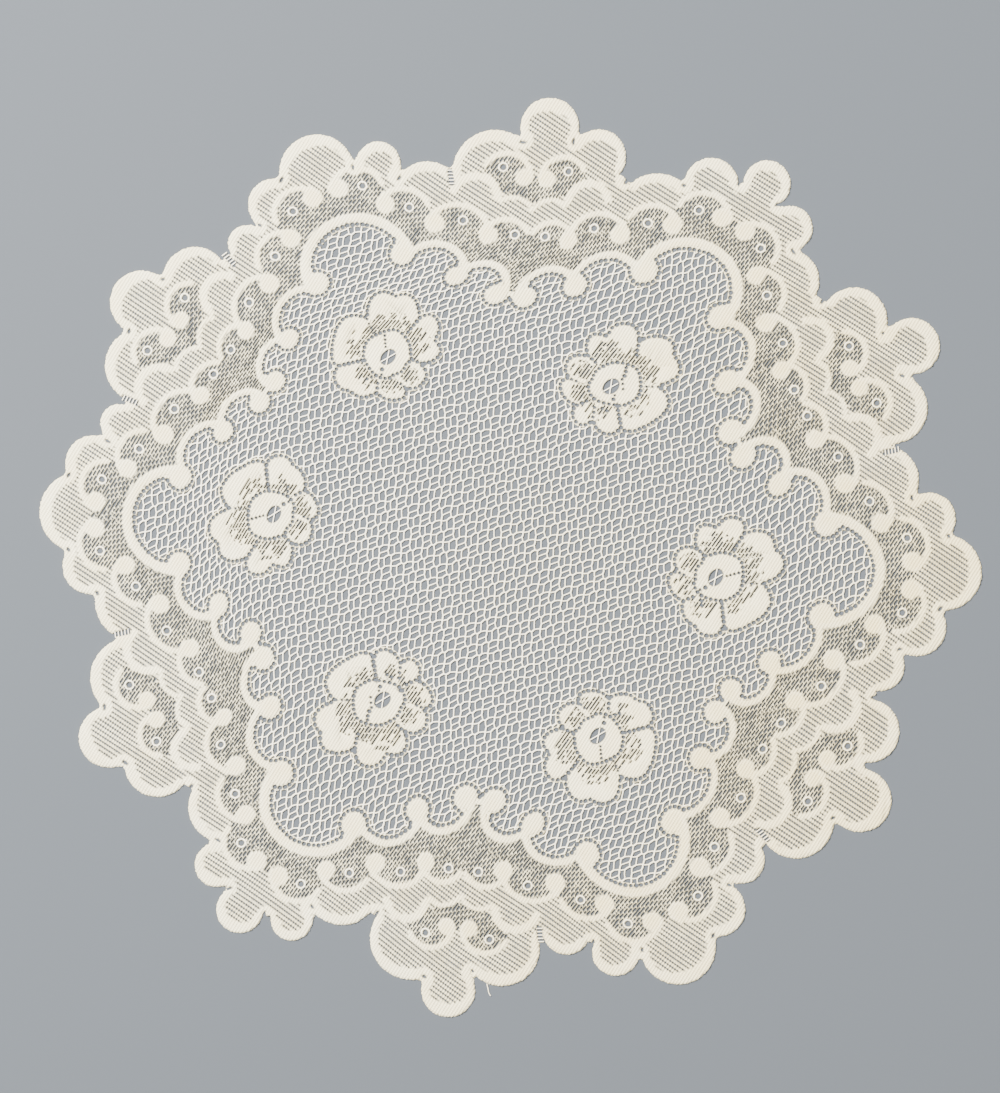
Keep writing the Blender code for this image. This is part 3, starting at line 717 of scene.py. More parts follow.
# --------------------------------------------------------------- mesh making
def without_scraps(faces, n_points):
    """Leaves out the faces of every part that is too small to be held by the rest."""
    pairs = np.concatenate([np.stack([f[:, k], f[:, (k + 1) % f.shape[1]]], axis=1)
                            for f in faces for k in range(f.shape[1])])
    part = np.arange(n_points)
    changed = True
    while changed:
        before = part.copy()
        ends = part[pairs]
        lowest = ends.min(axis=1)
        np.minimum.at(part, ends[:, 0], lowest)
        np.minimum.at(part, ends[:, 1], lowest)
        np.minimum.at(part, pairs[:, 0], lowest)
        np.minimum.at(part, pairs[:, 1], lowest)
        part = part[part[part]]
        changed = bool((part != before).any())
    count = np.bincount(np.concatenate([part[f[:, 0]] for f in faces]), minlength=n_points)
    return [f[count[part[f[:, 0]]] >= FEWEST_FACES] for f in faces]


def marched(s_axis, t_axis, field, wanted=True):
    """Outlines the positive part of a field on a grid: points, their depths, faces by size."""
    inside = field > 0.0
    ni, nj = field.shape
    corner = np.arange(ni * nj).reshape(ni, nj)
    along_s = corner[-1, -1] + 1 + np.arange((ni - 1) * nj).reshape(ni - 1, nj)
    along_t = along_s[-1, -1] + 1 + np.arange(ni * (nj - 1)).reshape(ni, nj - 1)

    def crossing(a, b):
        gap = a - b
        return np.clip(np.divide(a, gap, out=np.full(a.shape, 0.5), where=np.abs(gap) > 1e-9), *CROSSING)

    s_grid, t_grid = np.meshgrid(s_axis, t_axis, indexing="ij")
    share_s = crossing(field[:-1], field[1:])
    share_t = crossing(field[:, :-1], field[:, 1:])
    s = np.concatenate([s_grid.ravel(), (s_grid[:-1] + share_s * (s_axis[1] - s_axis[0])).ravel(),
                        s_grid[:, :-1].ravel()])
    t = np.concatenate([t_grid.ravel(), t_grid[:-1].ravel(),
                        (t_grid[:, :-1] + share_t * (t_axis[1] - t_axis[0])).ravel()])
    depth = np.concatenate([field.ravel(), np.zeros(share_s.size + share_t.size)])
    corners = (corner[:-1, :-1], corner[1:, :-1], corner[1:, 1:], corner[:-1, 1:])
    sides = (along_s[:, :-1], along_t[1:], along_s[:, 1:], along_t[:-1])
    case = sum(inside_part.astype(int) << k for k, inside_part in enumerate(
        (inside[:-1, :-1], inside[1:, :-1], inside[1:, 1:], inside[:-1, 1:])))
    faces = []
    for kind in range(1, 16):
        here = (case == kind) & wanted
        if not here.any():
            continue
        walk = []
        for k in range(4):
            if kind >> k & 1:
                walk.append(corners[k][here])
            if (kind >> k & 1) != (kind >> (k + 1) % 4 & 1):
                walk.append(sides[k][here])
        faces.append(np.stack(walk, axis=1))
    faces = without_scraps(faces, len(s))
    used = np.unique(np.concatenate([f.ravel() for f in faces]))
    renumber = np.zeros(len(s), int)
    renumber[used] = np.arange(len(used))
    return s[used], t[used], depth[used], [renumber[f] for f in faces]


def mesh_piece(name, points, faces, material, **shades):
    """A new shown piece from points in mm, arrays of faces and values for its points."""
    mesh = bpy.data.meshes.new(name)
    sizes = np.concatenate([np.full(len(f), f.shape[1]) for f in faces])
    loops = np.concatenate([f.ravel() for f in faces])
    mesh.vertices.add(len(points))
    mesh.vertices.foreach_set("co", (points * MM).astype(np.float32).ravel())
    mesh.loops.add(len(loops))
    mesh.loops.foreach_set("vertex_index", loops.astype(np.int32))
    mesh.polygons.add(len(sizes))
    mesh.polygons.foreach_set("loop_start", (np.cumsum(sizes) - sizes).astype(np.int32))
    mesh.polygons.foreach_set("loop_total", sizes.astype(np.int32))
    mesh.update(calc_edges=True)
    mesh.validate()
    mesh.shade_smooth()
    for key, values in shades.items():
        mesh.attributes.new(key, "FLOAT", "POINT").data.foreach_set("value", values.astype(np.float32))
    mesh.materials.append(material)
    piece = bpy.data.objects.new(name, mesh)
    bpy.context.scene.collection.objects.link(piece)
    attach(piece, BODY)
    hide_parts(SOLID)
    return piece


def flat_parts_merged(piece, deep):
    """One face for each flat stretch well inside the cloth."""
    work = bmesh.new()
    work.from_mesh(piece.data)
    work.verts.ensure_lookup_table()
    verts = [work.verts[i] for i in np.flatnonzero(deep)]
    inner = set(verts)
    edges = [e for e in work.edges if e.verts[0] in inner and e.verts[1] in inner]
    bmesh.ops.dissolve_limit(work, angle_limit=FLAT_LIMIT, verts=verts, edges=edges)
    work.to_mesh(piece.data)
    work.free()


def warmth_at(px, py):
    """0 for the bleached side of the cloth, 1 for the creamier one."""
    slow = 0.12 * np.sin(px / 31.0 + 1.0) * np.cos(py / 27.0)
    return np.clip(0.1 + (1.5 * px - 0.4 * py) / 900.0 + slow, 0.0, 1.0)


def leaning(s, t):
    """How far the pillars of the fine net lean to and fro towards their closings."""
    along = np.cos(2.0 * math.pi * t / (SLIT_COURSES * GRID_T))
    return PILLAR_LEAN * along * np.cos(math.pi * s / WALE_PITCH)


def cloth_piece(name, s_axis, t_axis, field, solid, inner, wanted=True, lean=None, cream=None):
    """A piece of cloth: its worked edges roll down, and it is raised where the work is solid."""
    sizes = bpy.context.scene.lace_sizes
    hem, cloth, motif = (size / MM for size in (sizes.hem_height, sizes.cloth_height, sizes.motif_height))
    s, t, depth, faces = marched(s_axis, t_axis, field, wanted)
    i, j = (np.clip(np.round((place - axis[0]) / (axis[1] - axis[0])).astype(int), 0, len(axis) - 1)
            for place, axis in ((s, s_axis), (t, t_axis)))
    raised = np.clip(solid[i, j] / MOTIF_RISE, 0.0, 1.0)
    rounded = np.sqrt(1.0 - (1.0 - np.clip(depth / ROUNDING, 0.0, 1.0)) ** 2)
    z = hem + (cloth - hem) * rounded + (motif - cloth) * eased(raised) * rounded
    if lean is not None:
        s = s + leaning(s, t) * lean[i, j]
    px, py = pulled(*off_machine(s, t))
    warmth = warmth_at(px, py)
    if cream is not None:
        warmth = np.clip(warmth + MOTIF_CREAM * cream[i, j], 0.0, 1.0)
    # Painted shade: yarn next to a hole is marked to be darkened, most at the hole's edge, wherever inner is
    # 1
    hollow = np.clip(1.0 - depth / PAINTED_SHADE_REACH, 0.0, 1.0) ** PAINTED_SHADE_EASE * inner[i, j]
    piece = mesh_piece(name, np.stack([px, py, z], axis=1), faces, cotton(), warmth=warmth, hollow=hollow)
    flat_parts_merged(piece, (depth > FLAT_DEPTH) & (solid[i, j] > FLAT_SOLID))


def tubes(paths, half_width, half_height, height, keep=None):
    """Threads along paths (n, k, 2): four long faces each. keep marks the runs to make."""
    n, k, _ = paths.shape
    lead = np.empty_like(paths)
    lead[:, 1:-1] = paths[:, 2:] - paths[:, :-2]
    lead[:, 0] = paths[:, 1] - paths[:, 0]
    lead[:, -1] = paths[:, -1] - paths[:, -2]
    lead /= np.maximum(np.linalg.norm(lead, axis=2, keepdims=True), TINY)
    side = np.stack([-lead[..., 1], lead[..., 0]], axis=2)
    ring = np.empty((n, k, 4, 3))
    for corner, (outward, upward) in enumerate(((1, 0), (0, 1), (-1, 0), (0, -1))):
        ring[..., corner, :2] = paths + outward * half_width * side
        ring[..., corner, 2] = height + upward * half_height
    number = np.arange(n * k * 4).reshape(n, k, 4)
    made = np.ones((n, k - 1), bool) if keep is None else keep
    faces = []
    for a, b in ((0, 1), (1, 2), (2, 3), (3, 0)):
        quad = (number[:, :-1, a], number[:, :-1, b], number[:, 1:, b], number[:, 1:, a])
        faces.append(np.stack(quad, axis=2)[made])
    return ring.reshape(-1, 3), np.concatenate(faces)


def thread_piece(name, parts):
    """A piece of threads from (points, faces) parts, without the points that no face uses."""
    starts = np.cumsum([0] + [len(points) for points, _ in parts])
    points = np.concatenate([points for points, _ in parts])
    faces = np.concatenate([faces + start for (_, faces), start in zip(parts, starts)])
    used, compact = np.unique(faces, return_inverse=True)
    points = points[used]
    mesh_piece(name, points, [compact.reshape(faces.shape)], thread(),
               warmth=warmth_at(points[:, 0], points[:, 1]))


# ----------------------------------------------------------------- materials
def linear(hex_colour):
    """sRGB hex to the linear colour that a shader takes."""
    values = [int(hex_colour[i:i + 2], 16) / 255.0 for i in (1, 3, 5)]
    return tuple(v / 12.92 if v <= 0.04045 else ((v + 0.055) / 1.055) ** 2.4 for v in values) + (1.0,)


def add_node(tree, kind, settings=None, links=None):
    """A node with its settings and what feeds its sockets."""
    made = tree.nodes.new(kind)
    for key, value in (settings or {}).items():
        if isinstance(key, str) and hasattr(made, key):
            setattr(made, key, value)
        else:
            made.inputs[key].default_value = value
    for socket, source in (links or {}).items():
        tree.links.new(source, made.inputs[socket])
    return made


def new_material(name):
    """An empty material, its node tree and the place on the object that its patterns take."""
    material = bpy.data.materials.new(name)
    material.use_nodes = True
    tree = material.node_tree
    tree.nodes.clear()
    return material, tree, add_node(tree, "ShaderNodeTexCoord").outputs["Object"]


def noise_scale(size_mm):
    """Scale of a noise whose patches are about this size."""
    return 1.0 / (size_mm * MM)


def wave_scale(pitch_mm):
    """Scale of a band wave whose crests lie this far apart."""
    return math.pi / 10.0 / (pitch_mm * MM)


def surfaced(tree, height, strength, depth_mm, settings, links):
    """Ends a material in its shader, with a bump of this depth."""
    bump = add_node(tree, "ShaderNodeBump", {"Strength": strength, "Distance": depth_mm * MM},
                    {"Height": height})
    shader = add_node(tree, "ShaderNodeBsdfPrincipled", settings,
                      {"Normal": bump.outputs["Normal"], **links})
    add_node(tree, "ShaderNodeOutputMaterial", None, {"Surface": shader.outputs["BSDF"]})


def knitted_cotton(colours):
    # Bleached cotton, warp-knitted in a close ground: matt, with fine ridges of
    # stitches along the courses and a soft bloom of fibre ends at a low angle.
    material, tree, place = new_material("warp_knitted_cotton")
    turn = math.radians(-COURSE_TURN + STITCH_LEAN)
    along = add_node(tree, "ShaderNodeMapping", {"Rotation": (0.0, 0.0, turn)}, {"Vector": place})
    ridges = []
    for direction, pitch, distortion in (("Y", COURSE_PITCH, 0.6), ("X", WALE_PITCH, 0.5)):
        wave = add_node(tree, "ShaderNodeTexWave",
                        {"bands_direction": direction, "Scale": wave_scale(pitch),
                         "Distortion": distortion, "Detail": 1.0, "Detail Scale": 2.0},
                        {"Vector": along.outputs["Vector"]})
        ridges.append(wave.outputs["Fac"])
    stitches = add_node(tree, "ShaderNodeMath", {"operation": "MULTIPLY_ADD", 1: 0.5},
                        {0: ridges[0], 2: ridges[1]})
    fibres = add_node(tree, "ShaderNodeTexNoise", {"Scale": noise_scale(0.35), "Detail": 2.0},
                      {"Vector": along.outputs["Vector"]})
    relief = add_node(tree, "ShaderNodeMath", {"operation": "MULTIPLY_ADD", 1: 0.5},
                      {0: fibres.outputs["Fac"], 2: stitches.outputs[0]})
    # Bleaching and washing leave it whiter in some patches than in others.
    warm = add_node(tree, "ShaderNodeAttribute", {"attribute_name": "warmth"})
    patchy = add_node(tree, "ShaderNodeTexNoise", {"Scale": noise_scale(14.0), "Detail": 3.0},
                      {"Vector": place})
    tone = add_node(tree, "ShaderNodeMath", {"operation": "MULTIPLY_ADD", 1: 0.7, "use_clamp": True},
                    {0: patchy.outputs["Fac"], 2: warm.outputs["Fac"]})
    body = add_node(tree, "ShaderNodeMix",
                    {"data_type": "RGBA", MIX_A: (*colours.bleached, 1.0), MIX_B: (*colours.cream, 1.0)},
                    {MIX_FACTOR: tone.outputs[0]})
    # Painted shade: darker between the stitches, where less light reaches, and darkest down in the holes,
    # where next to none does.
    # Painted shade between the stitches: the colour is multiplied down where the stitch ridges are low
    shade = add_node(tree, "ShaderNodeMapRange",
                     {"From Min": 0.1, "From Max": 1.2, "To Min": 0.72, "To Max": 1.0},
                     {"Value": stitches.outputs[0]})
    shaded = add_node(tree, "ShaderNodeMix",
                      {"data_type": "RGBA", "blend_type": "MULTIPLY", MIX_FACTOR: 1.0},
                      {MIX_A: body.outputs[MIX_RESULT], MIX_B: shade.outputs[0]})
    # Painted shade down in the holes: the colour is mixed towards a dark one by this point attribute
    hollow = add_node(tree, "ShaderNodeAttribute", {"attribute_name": "hollow"})
    painted_shade_share = add_node(tree, "ShaderNodeMath", {"operation": "MULTIPLY", 1: 0.97},
                      {0: hollow.outputs["Fac"]})
    shade_painted_body = add_node(tree, "ShaderNodeMix", {"data_type": "RGBA", MIX_B: (*colours.painted_hole_shade_colour, 1.0)},
                    {MIX_FACTOR: painted_shade_share.outputs[0], MIX_A: shaded.outputs[MIX_RESULT]})
    surfaced(tree, relief.outputs[0], 0.9, 0.22,
             {"Roughness": 0.82, "IOR": COTTON_IOR, "Sheen Weight": 0.15, "Sheen Roughness": 0.5},
             {"Base Color": shade_painted_body.outputs[MIX_RESULT]})
    return material


def net_thread(colours):
    # Fine two-ply cotton thread, gassed and mercerised: smoother and whiter than
    # the close cloth, with a faint shine and the fine grain of its ply.
    material, tree, place = new_material("mercerised_cotton_thread")
    ply = add_node(tree, "ShaderNodeTexNoise", {"Scale": noise_scale(0.30), "Detail": 2.0},
                   {"Vector": place})
    warm = add_node(tree, "ShaderNodeAttribute", {"attribute_name": "warmth"})
    body = add_node(tree, "ShaderNodeMix",
                    {"data_type": "RGBA", MIX_A: (*colours.thread, 1.0), MIX_B: (*colours.cream, 1.0)},
                    {MIX_FACTOR: warm.outputs["Fac"]})
    surfaced(tree, ply.outputs["Fac"], 0.5, 0.08,
             {"Roughness": 0.62, "IOR": COTTON_IOR, "Sheen Weight": 0.1, "Sheen Roughness": 0.4},
             {"Base Color": body.outputs[MIX_RESULT]})
    return material


def painted_board(colours):
    # Table board rolled with matt emulsion: an even cool grey with the very
    # slight mottle that a roller leaves.
    material, tree, place = new_material("matt_painted_board")
    mottle = add_node(tree, "ShaderNodeTexNoise", {"Scale": noise_scale(9.0), "Detail": 2.0},
                      {"Vector": place})
    surfaced(tree, mottle.outputs["Fac"], 0.1, 0.05,
             {"Base Color": (*colours.floor, 1.0), "Roughness": 0.9, "IOR": 1.5}, {})
    return material


def material_of(name, maker):
    return bpy.data.materials.get(name) or maker(bpy.context.scene.lace_colours)


def cotton():
    return material_of("warp_knitted_cotton", knitted_cotton)


def thread():
    return material_of("mercerised_cotton_thread", net_thread)


# ------------------------------------------------------------------ settings
def a_length(name, about, default, low, high):
    """A length setting, given here in mm."""
    return FloatProperty(name=name, description=about, default=default * MM, min=low * MM, max=high * MM,
                         precision=5, subtype="DISTANCE", unit="LENGTH")


def a_colour(name, about, hex_colour):
    return FloatVectorProperty(name=name, description=about, default=linear(hex_colour)[:3],
                               min=0.0, max=1.0, size=3, subtype="COLOR")


class LaceSizes(bpy.types.PropertyGroup):
    """Thicknesses of the lace and of its threads"""
    cloth_height: a_length("Cloth height", "Height of the close cloth's upper face", 0.80, 0.2, 1.6)
    motif_height: a_length("Motif height", "Height of the close-worked motifs", 0.86, 0.2, 1.9)
    hem_height: a_length("Edge height", "Height of a worked edge where it rolls under", 0.12, 0.0, 0.5)
    thick_thread: a_length("Thick thread", "Width of the net's doubled threads", 0.72, 0.1, 1.5)
    light_thread: a_length("Light thread", "Width of the net's single threads", 0.58, 0.1, 1.5)
    bar_thread: a_length("Bar thread", "Width of the bars across the net's cells", 0.52, 0.1, 1.5)


class LaceColours(bpy.types.PropertyGroup):
    """Colours of the cotton and of the table"""
    bleached: a_colour("Bleached cotton", "Colour of the whitest close cloth", "#F2E9C8")
    cream: a_colour("Cream cotton", "Colour of the creamiest close cloth", "#E2CF96")
    thread: a_colour("Net thread", "Colour of the net's thread", "#F5ECD4")
    # Painted shade: the dark colour that the yarn round the holes is mixed towards, standing in for the shade
    # down in them
    painted_hole_shade_colour: a_colour("Hole walls", "Colour of the yarn down inside the holes", "#24282D")
    floor: a_colour("Table", "Colour of the painted board under the lace", "#44484C")


# ----------------------------------------------------------------- operators
_laid = {}


def border():
    """The border's grid and all that is worked on it, laid out once."""
    if not _laid:
        half = math.ceil(LACE_REACH / WALE_PITCH) * 2
        s_axis, t_axis = (np.arange(-half, half + 1) * step for step in (GRID_S, GRID_T))
        s, t = np.meshgrid(s_axis, t_axis, indexing="ij")
        _laid.update(lace_fields(s, t), s_axis=s_axis, t_axis=t_axis)
        _laid["worked"], _laid["solid"] = border_worked(s, t, _laid)
        # inner marks where the holes' walls get painted shade: everywhere but round the doily's edge
        _laid["inner"] = np.where(_laid["edge"] > EDGE_BRIGHT, 1.0, 0.0)
    return _laid


def centre(values):
    return 0.25 * (values[:-1, :-1] + values[1:, :-1] + values[1:, 1:] + values[:-1, 1:])


class CloseClothAdd(bpy.types.Operator):
    """Adds the close-worked cloth: the scalloped rim, the pinhole cloth within it and the scrolls"""
    bl_idname = "lace.close_cloth_add"
    bl_label = "Close cloth"

    def execute(self, context):
        b = border()
        cloth_piece("close_cloth", b["s_axis"], b["t_axis"], b["worked"],
                    np.where(b["net"] > 0.0, b["scrolls"], b["solid"]), b["inner"],
                    wanted=(centre(b["net"]) > 0.0) | (centre(b["fine"]) <= 0.0),
                    cream=np.clip(b["scrolls"] / SCROLL_CREAM, 0.0, 1.0))
        return {"FINISHED"}


class FineNetAdd(bpy.types.Operator):
    """Adds the fine slit net with its hooked scrolls and eyelets"""
    bl_idname = "lace.fine_net_add"
    bl_label = "Fine net"

    def execute(self, context):
        b = border()
        cloth_piece("fine_net", b["s_axis"], b["t_axis"], b["worked"], b["solid"], b["inner"],
                    wanted=(centre(b["fine"]) > 0.0) & (centre(b["net"]) <= 0.0),
                    lean=np.clip(-b["solid"] - LEAN_START, 0.0, 1.0),
                    cream=np.clip(b["hooks"] / HOOK_CREAM, 0.0, 1.0))
        return {"FINISHED"}


class RosesAdd(bpy.types.Operator):
    """Adds the six roses, each with its petals, pinholes and cup"""
    bl_idname = "lace.roses_add"
    bl_label = "Roses"

    def execute(self, context):
        for number, rose in enumerate(ROSES):
            across, up = rose.across - MIDDLE_SHIFT[0], rose.up - MIDDLE_SHIFT[1]
            middle = onto_machine(*unskewed(across, up, MIDDLE_SKEW))
            s_axis, t_axis = ((np.round(start / step) + np.arange(-count, count + 1)) * step
                              for start, step, count in zip(middle, ROSE_GRID, ROSE_STEPS))
            s, t = np.meshgrid(s_axis, t_axis, indexing="ij")
            place = onto_rose(*pulled(*off_machine(s, t)), rose)
            slits = slit_net(s, t, *ROSE_SLITS, ROSE_GRID[1], ROSE_LOOSE, place)
            worked, outline = rose_depths(*place, slits, rose.kind)
            cloth_piece(f"rose_{number + 1}", s_axis, t_axis, worked, outline, np.ones(outline.shape))
        return {"FINISHED"}


def net_room(x, y):
    """How far a place of the open net is from the nearest motif's edge thread."""
    fx, fy = folded(x, y)
    motif = joined(bands_depth(fx, fy, SCROLLS), frame_depth(fx, fy), BAND_EASE)
    for kind, close, place in near_roses(*pulled(x, y), NEAR_ROSE):
        motif[close] = np.maximum(motif[close], rose_outline(*place, kind))
    return np.where(within_net(fx, fy) > 0.0, -motif - EDGE_GAP, np.minimum(-motif - EDGE_GAP, -0.5))


def trimmed(x, y, room):
    """Ends the threads where they run out of room, one span at a time from either side."""
    ahead, behind = slice(1, None), slice(None, -1)
    for end, held in ((behind, ahead), (ahead, behind)):
        cut = (room[:, end] <= 0.0) & (room[:, held] > 0.0)
        share = np.where(cut, room[:, held] / np.maximum(room[:, held] - room[:, end], TINY), 1.0)
        for place in (x, y):
            ended = place[:, held] + (place[:, end] - place[:, held]) * share
            place[:, end] = np.where(cut, ended, place[:, end])


class OpenNetAdd(bpy.types.Operator):
    """Adds the open net of thick and light threads"""
    bl_idname = "lace.open_net_add"
    bl_label = "Open net"

    def execute(self, context):
        counts = [math.ceil(NET_REACH / pitch) for pitch in NET_REPEAT]
        column, row = (a.ravel() for a in np.meshgrid(*(np.arange(-n, n + 1) for n in counts), indexing="ij"))
        starts = np.stack([NET_START[0] + column * NET_REPEAT[0], NET_START[1] + row * NET_REPEAT[1]], axis=1)
        parts = {"open_net": [], "net_bars": []}
        for kind, way in NET_THREADS:
            setting, half_height, height, piece = THREAD_KINDS[kind]
            paths = starts[:, None, :] + np.array(way)[None]
            x, y = off_machine(paths[..., 0], paths[..., 1])
            room = net_room(x, y)
            some = (room > 0.0).any(axis=1)
            x, y, room = x[some], y[some], room[some]
            keep = (room[:, :-1] > 0.0) | (room[:, 1:] > 0.0)
            calm = np.clip(room / CALM_REACH, 0.0, 1.0)
            dx, dy = drift(x, y)
            x, y = x + dx * calm, y + dy * calm
            trimmed(x, y, room)
            half_width = getattr(context.scene.lace_sizes, setting) / MM / 2.0
            parts[piece].append(tubes(np.stack(pulled(x, y), axis=2), half_width, half_height, height, keep))
        for name, made in parts.items():
            thread_piece(name, made)
        return {"FINISHED"}


def contour(axis, field):
    """Closed and open lines where a field on a square grid is zero, as arrays of (s, t)."""
    s, t, depth, faces = marched(axis, axis, field)
    on_line = depth == 0.0
    after = {}
    for group in faces:
        for k in range(group.shape[1]):
            a, b = group[:, k], group[:, (k + 1) % group.shape[1]]
            both = on_line[a] & on_line[b]
            after.update(zip(a[both].tolist(), b[both].tolist()))
    lines = []
    starts = set(after) - set(after.values())
    while after:
        start = starts.pop() if starts else next(iter(after))
        line = [start]
        while line[-1] in after:
            line.append(after.pop(line[-1]))
        lines.append(np.stack([s[line], t[line]], axis=1))
    return lines


def evened(line, step):
    """The same line with points an even step apart."""
    gaps = np.hypot(*np.diff(line, axis=0).T)
    reach = np.concatenate([[0.0], np.cumsum(gaps)])
    count = max(4, round(reach[-1] / step))
    places = np.linspace(0.0, reach[-1], count + 1)
    return np.stack([np.interp(places, reach, line[:, k]) for k in (0, 1)], axis=1)


def pierced(axis, field, lines):
    """Cuts a row of round beaded holes, each a little different, along lines."""
    step = axis[1] - axis[0]
    half = math.ceil(BEAD_WINDOW / step)
    window = np.arange(-half, half + 1)
    for number, line in enumerate(lines):
        spots = evened(line, BEAD_STEP)[:-1]
        which = np.arange(len(spots))
        spots = spots + BEAD_STRAY * (chance(which[:, None] + 7 * number, np.arange(2)[None]) - 0.5)
        size = BEAD_HOLE * varied(BEAD_SPREAD, which, BEAD_DICE + number)
        i, j = (np.round((spots[:, k] - axis[0]) / step).astype(int)[:, None, None] for k in (0, 1))
        i, j = np.broadcast_arrays(i + window[None, :, None], j + window[None, None, :])
        gap = np.hypot(axis[i] - spots[:, 0, None, None], axis[j] - spots[:, 1, None, None])
        np.minimum.at(field, (i, j), gap - size[:, None, None])
    return field


def spread(mask, steps):
    """The mask grown by so many steps of its grid."""
    for _ in range(steps):
        grown = mask.copy()
        grown[1:] |= mask[:-1]
        grown[:-1] |= mask[1:]
        grown[:, 1:] |= mask[:, :-1]
        grown[:, :-1] |= mask[:, 1:]
        mask = grown
    return mask


class EdgeThreadsAdd(bpy.types.Operator):
    """Adds the beaded edge that joins each motif to the open net"""
    bl_idname = "lace.edge_threads_add"
    bl_label = "Beaded edges"

    def execute(self, context):
        half = math.ceil(NET_REACH / EDGE_GRID)
        axis = np.arange(-half, half + 1) * EDGE_GRID
        x, y = off_machine(*np.meshgrid(axis, axis, indexing="ij"))
        room = net_room(x, y)
        beyond = -EDGE_GAP - room
        strip = np.minimum(EDGE_GAP + EDGE_CORD + beyond, 1.0)
        for held in (spread(beyond < 0.0, EDGE_LAP), within_net(*folded(x, y)) > 0.0):
            strip = np.where(held, strip, -0.3)
        lines = [line for line in contour(axis, room + EDGE_GAP - BEAD_OUT) if len(line) > SHORTEST_LINE]
        strip = pierced(axis, strip, lines)
        for kind, close, place in near_roses(*pulled(x, y), ON_ROSE):
            strip[close] = np.minimum(strip[close], rose_pinholes(*place, kind))
        cloth_piece("edge_threads", axis, axis, strip, np.full(strip.shape, -1.0),
                    np.where(beyond > 0.1 - EDGE_GAP, 1.0, 0.0))
        return {"FINISHED"}


def one_tube(x, y, thread_size):
    return tubes(np.stack([x, y], axis=1)[None], *thread_size)


def whipped_rings():
    head = np.radians(np.arange(0.0, 360.0 + RING_TURN / 2.0, RING_TURN))
    for crown in range(6):
        for across, outward in EYELETS:
            for side in (-1.0, 1.0):
                x, y = turned(side * across + EYELET_CORD * np.cos(head),
                              outward + EYELET_CORD * np.sin(head), CROWN_PITCH * crown)
                yield one_tube(*pulled(x, y), RING_THREAD)


def cup_threads():
    for rose in ROSES:
        middle_x, middle_y = rose.kind.hole[:2]
        for turn, half in CUP_CROSS:
            x, y = turned(np.array((-half, half)), np.zeros(2), turn)
            place = off_rose(middle_x + CUP_CROSS_OFF[0] + x, middle_y + CUP_CROSS_OFF[1] + y, rose)
            yield one_tube(*place, CROSS_THREAD)


def ladder_rungs():
    across = np.array((-1.0, 1.0)) * (LADDER_WIDTH / 2.0 + RUNG_LAP)
    for ladder in LADDERS:
        for rung in LADDER_RUNGS:
            along = math.hypot(*ladder) + rung * LADDER_STEP + RUNG_SLANT * across
            yield one_tube(*turned(along, across, heading(*ladder)), RUNG_THREAD)


class EyeletsAdd(bpy.types.Operator):
    """Adds the whipped eyelet rings, the threads across the cups and ladders, and the loose end"""
    bl_idname = "lace.eyelets_add"
    bl_label = "Rings and single threads"

    def execute(self, context):
        loose_end = one_tube(*np.array(LOOSE_END).T, LOOSE_THREAD)
        thread_piece("eyelet_rings", [*whipped_rings(), *cup_threads(), loose_end, *ladder_rungs()])
        return {"FINISHED"}


# --------------------------------------------------------------------- stage
def board(size, material):
    """The table board under the lace, its upper face at z = 0."""
    work = bmesh.new()
    bmesh.ops.create_grid(work, x_segments=8, y_segments=8, size=size / 2.0)
    mesh = bpy.data.meshes.new("table_board")
    work.to_mesh(mesh)
    work.free()
    mesh.materials.append(material)
    floor = bpy.data.objects.new("table_board", mesh)
    bpy.context.scene.collection.objects.link(floor)


def soft_light(name, power, size, place):
    """A square light that faces the middle of the lace."""
    light = bpy.data.lights.new(name, "AREA")
    light.energy = power
    light.size = size
    lamp = bpy.data.objects.new(name, light)
    lamp.location = place
    lamp.rotation_mode = "QUATERNION"
    lamp.rotation_quaternion = Vector(place).to_track_quat("Z", "Y")
    bpy.context.scene.collection.objects.link(lamp)


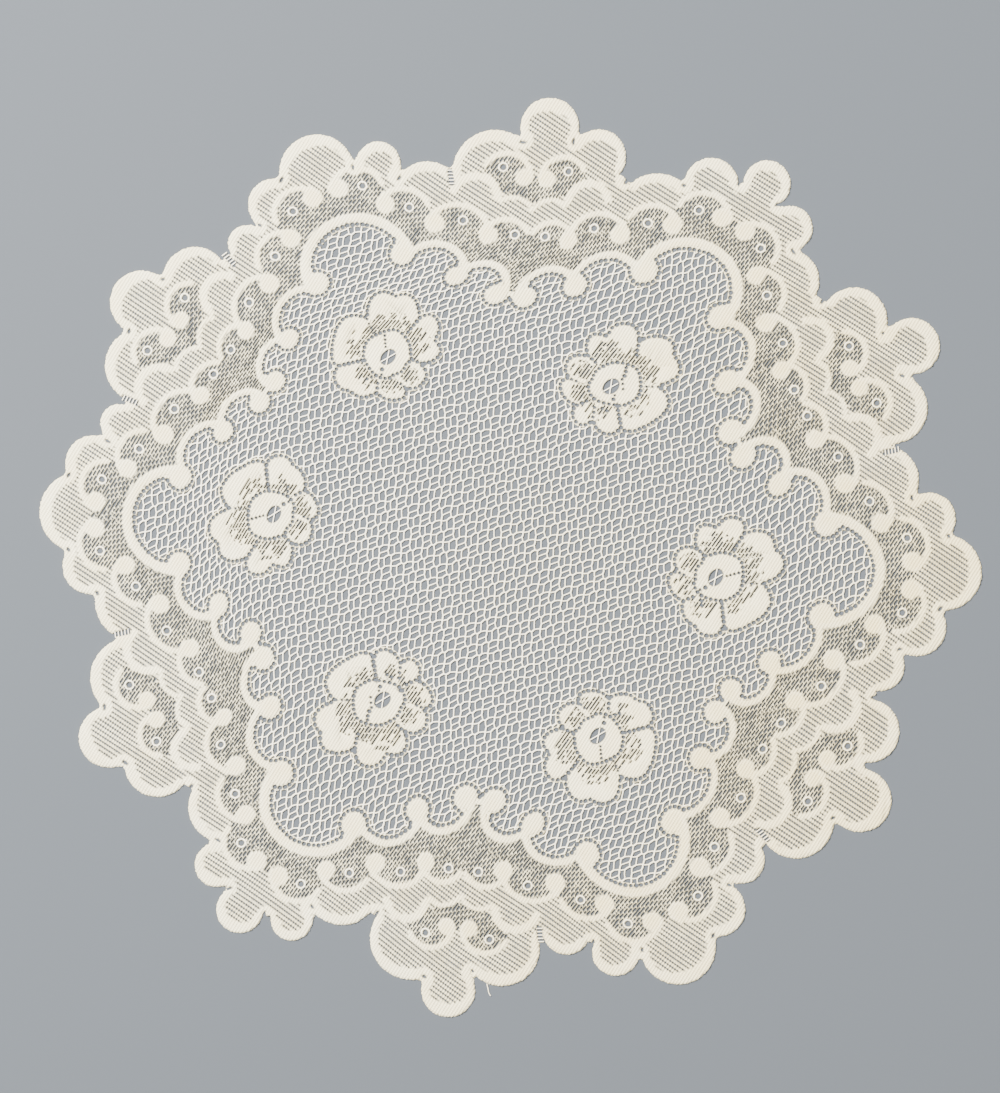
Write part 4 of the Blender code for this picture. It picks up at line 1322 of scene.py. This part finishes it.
class StageAdd(bpy.types.Operator):
    """Adds the camera straight above, the pale table and the studio lights"""
    bl_idname = "lace.stage_add"
    bl_label = "Stage"

    def execute(self, context):
        scene = context.scene
        wide, tall = (pixels * MM_PER_PIXEL * MM for pixels in VIEW_PIXELS)
        left, top = (pixels * MM_PER_PIXEL * MM for pixels in PATTERN_MIDDLE)
        lens = bpy.data.cameras.new("camera_above")
        lens.lens = lens.sensor_width * CAMERA_HEIGHT / tall
        camera = bpy.data.objects.new("camera_above", lens)
        camera.location = (wide / 2.0 - left, top - tall / 2.0, CAMERA_HEIGHT)
        scene.collection.objects.link(camera)
        scene.camera = camera
        board(FLOOR_SIZE, painted_board(scene.lace_colours))
        for lamp in LAMPS:
            soft_light(*lamp)
        world = bpy.data.worlds.new("studio_room")
        world.use_nodes = True
        room = world.node_tree.nodes["Background"]
        room.inputs["Color"].default_value = linear(ROOM_COLOUR)
        room.inputs["Strength"].default_value = ROOM_LIGHT
        scene.world = world
        return {"FINISHED"}


class LacePanel(bpy.types.Panel):
    """Lists the doily's sizes, colours and pieces"""
    bl_label = "Round lace doily"
    bl_idname = "VIEW3D_PT_lace_doily"
    bl_space_type = "VIEW_3D"
    bl_region_type = "UI"
    bl_category = "Lace"

    def draw(self, context):
        for group in (context.scene.lace_sizes, context.scene.lace_colours):
            for key in group.__annotations__:
                self.layout.prop(group, key)
        for operator in PIECES:
            self.layout.operator(operator.bl_idname)


PIECES = (StageAdd, CloseClothAdd, FineNetAdd, RosesAdd, OpenNetAdd, EdgeThreadsAdd, EyeletsAdd)
CLASSES = (LaceSizes, LaceColours, *PIECES, LacePanel)


def register():
    for cls in CLASSES:
        bpy.utils.register_class(cls)
    bpy.types.Scene.lace_sizes = PointerProperty(type=LaceSizes)
    bpy.types.Scene.lace_colours = PointerProperty(type=LaceColours)


def unregister():
    del bpy.types.Scene.lace_sizes
    del bpy.types.Scene.lace_colours
    for cls in reversed(CLASSES):
        bpy.utils.unregister_class(cls)


def main():
    register()
    for operator in PIECES:
        group, name = operator.bl_idname.split(".")
        getattr(getattr(bpy.ops, group), name)()


if __name__ == "__main__":
    main()
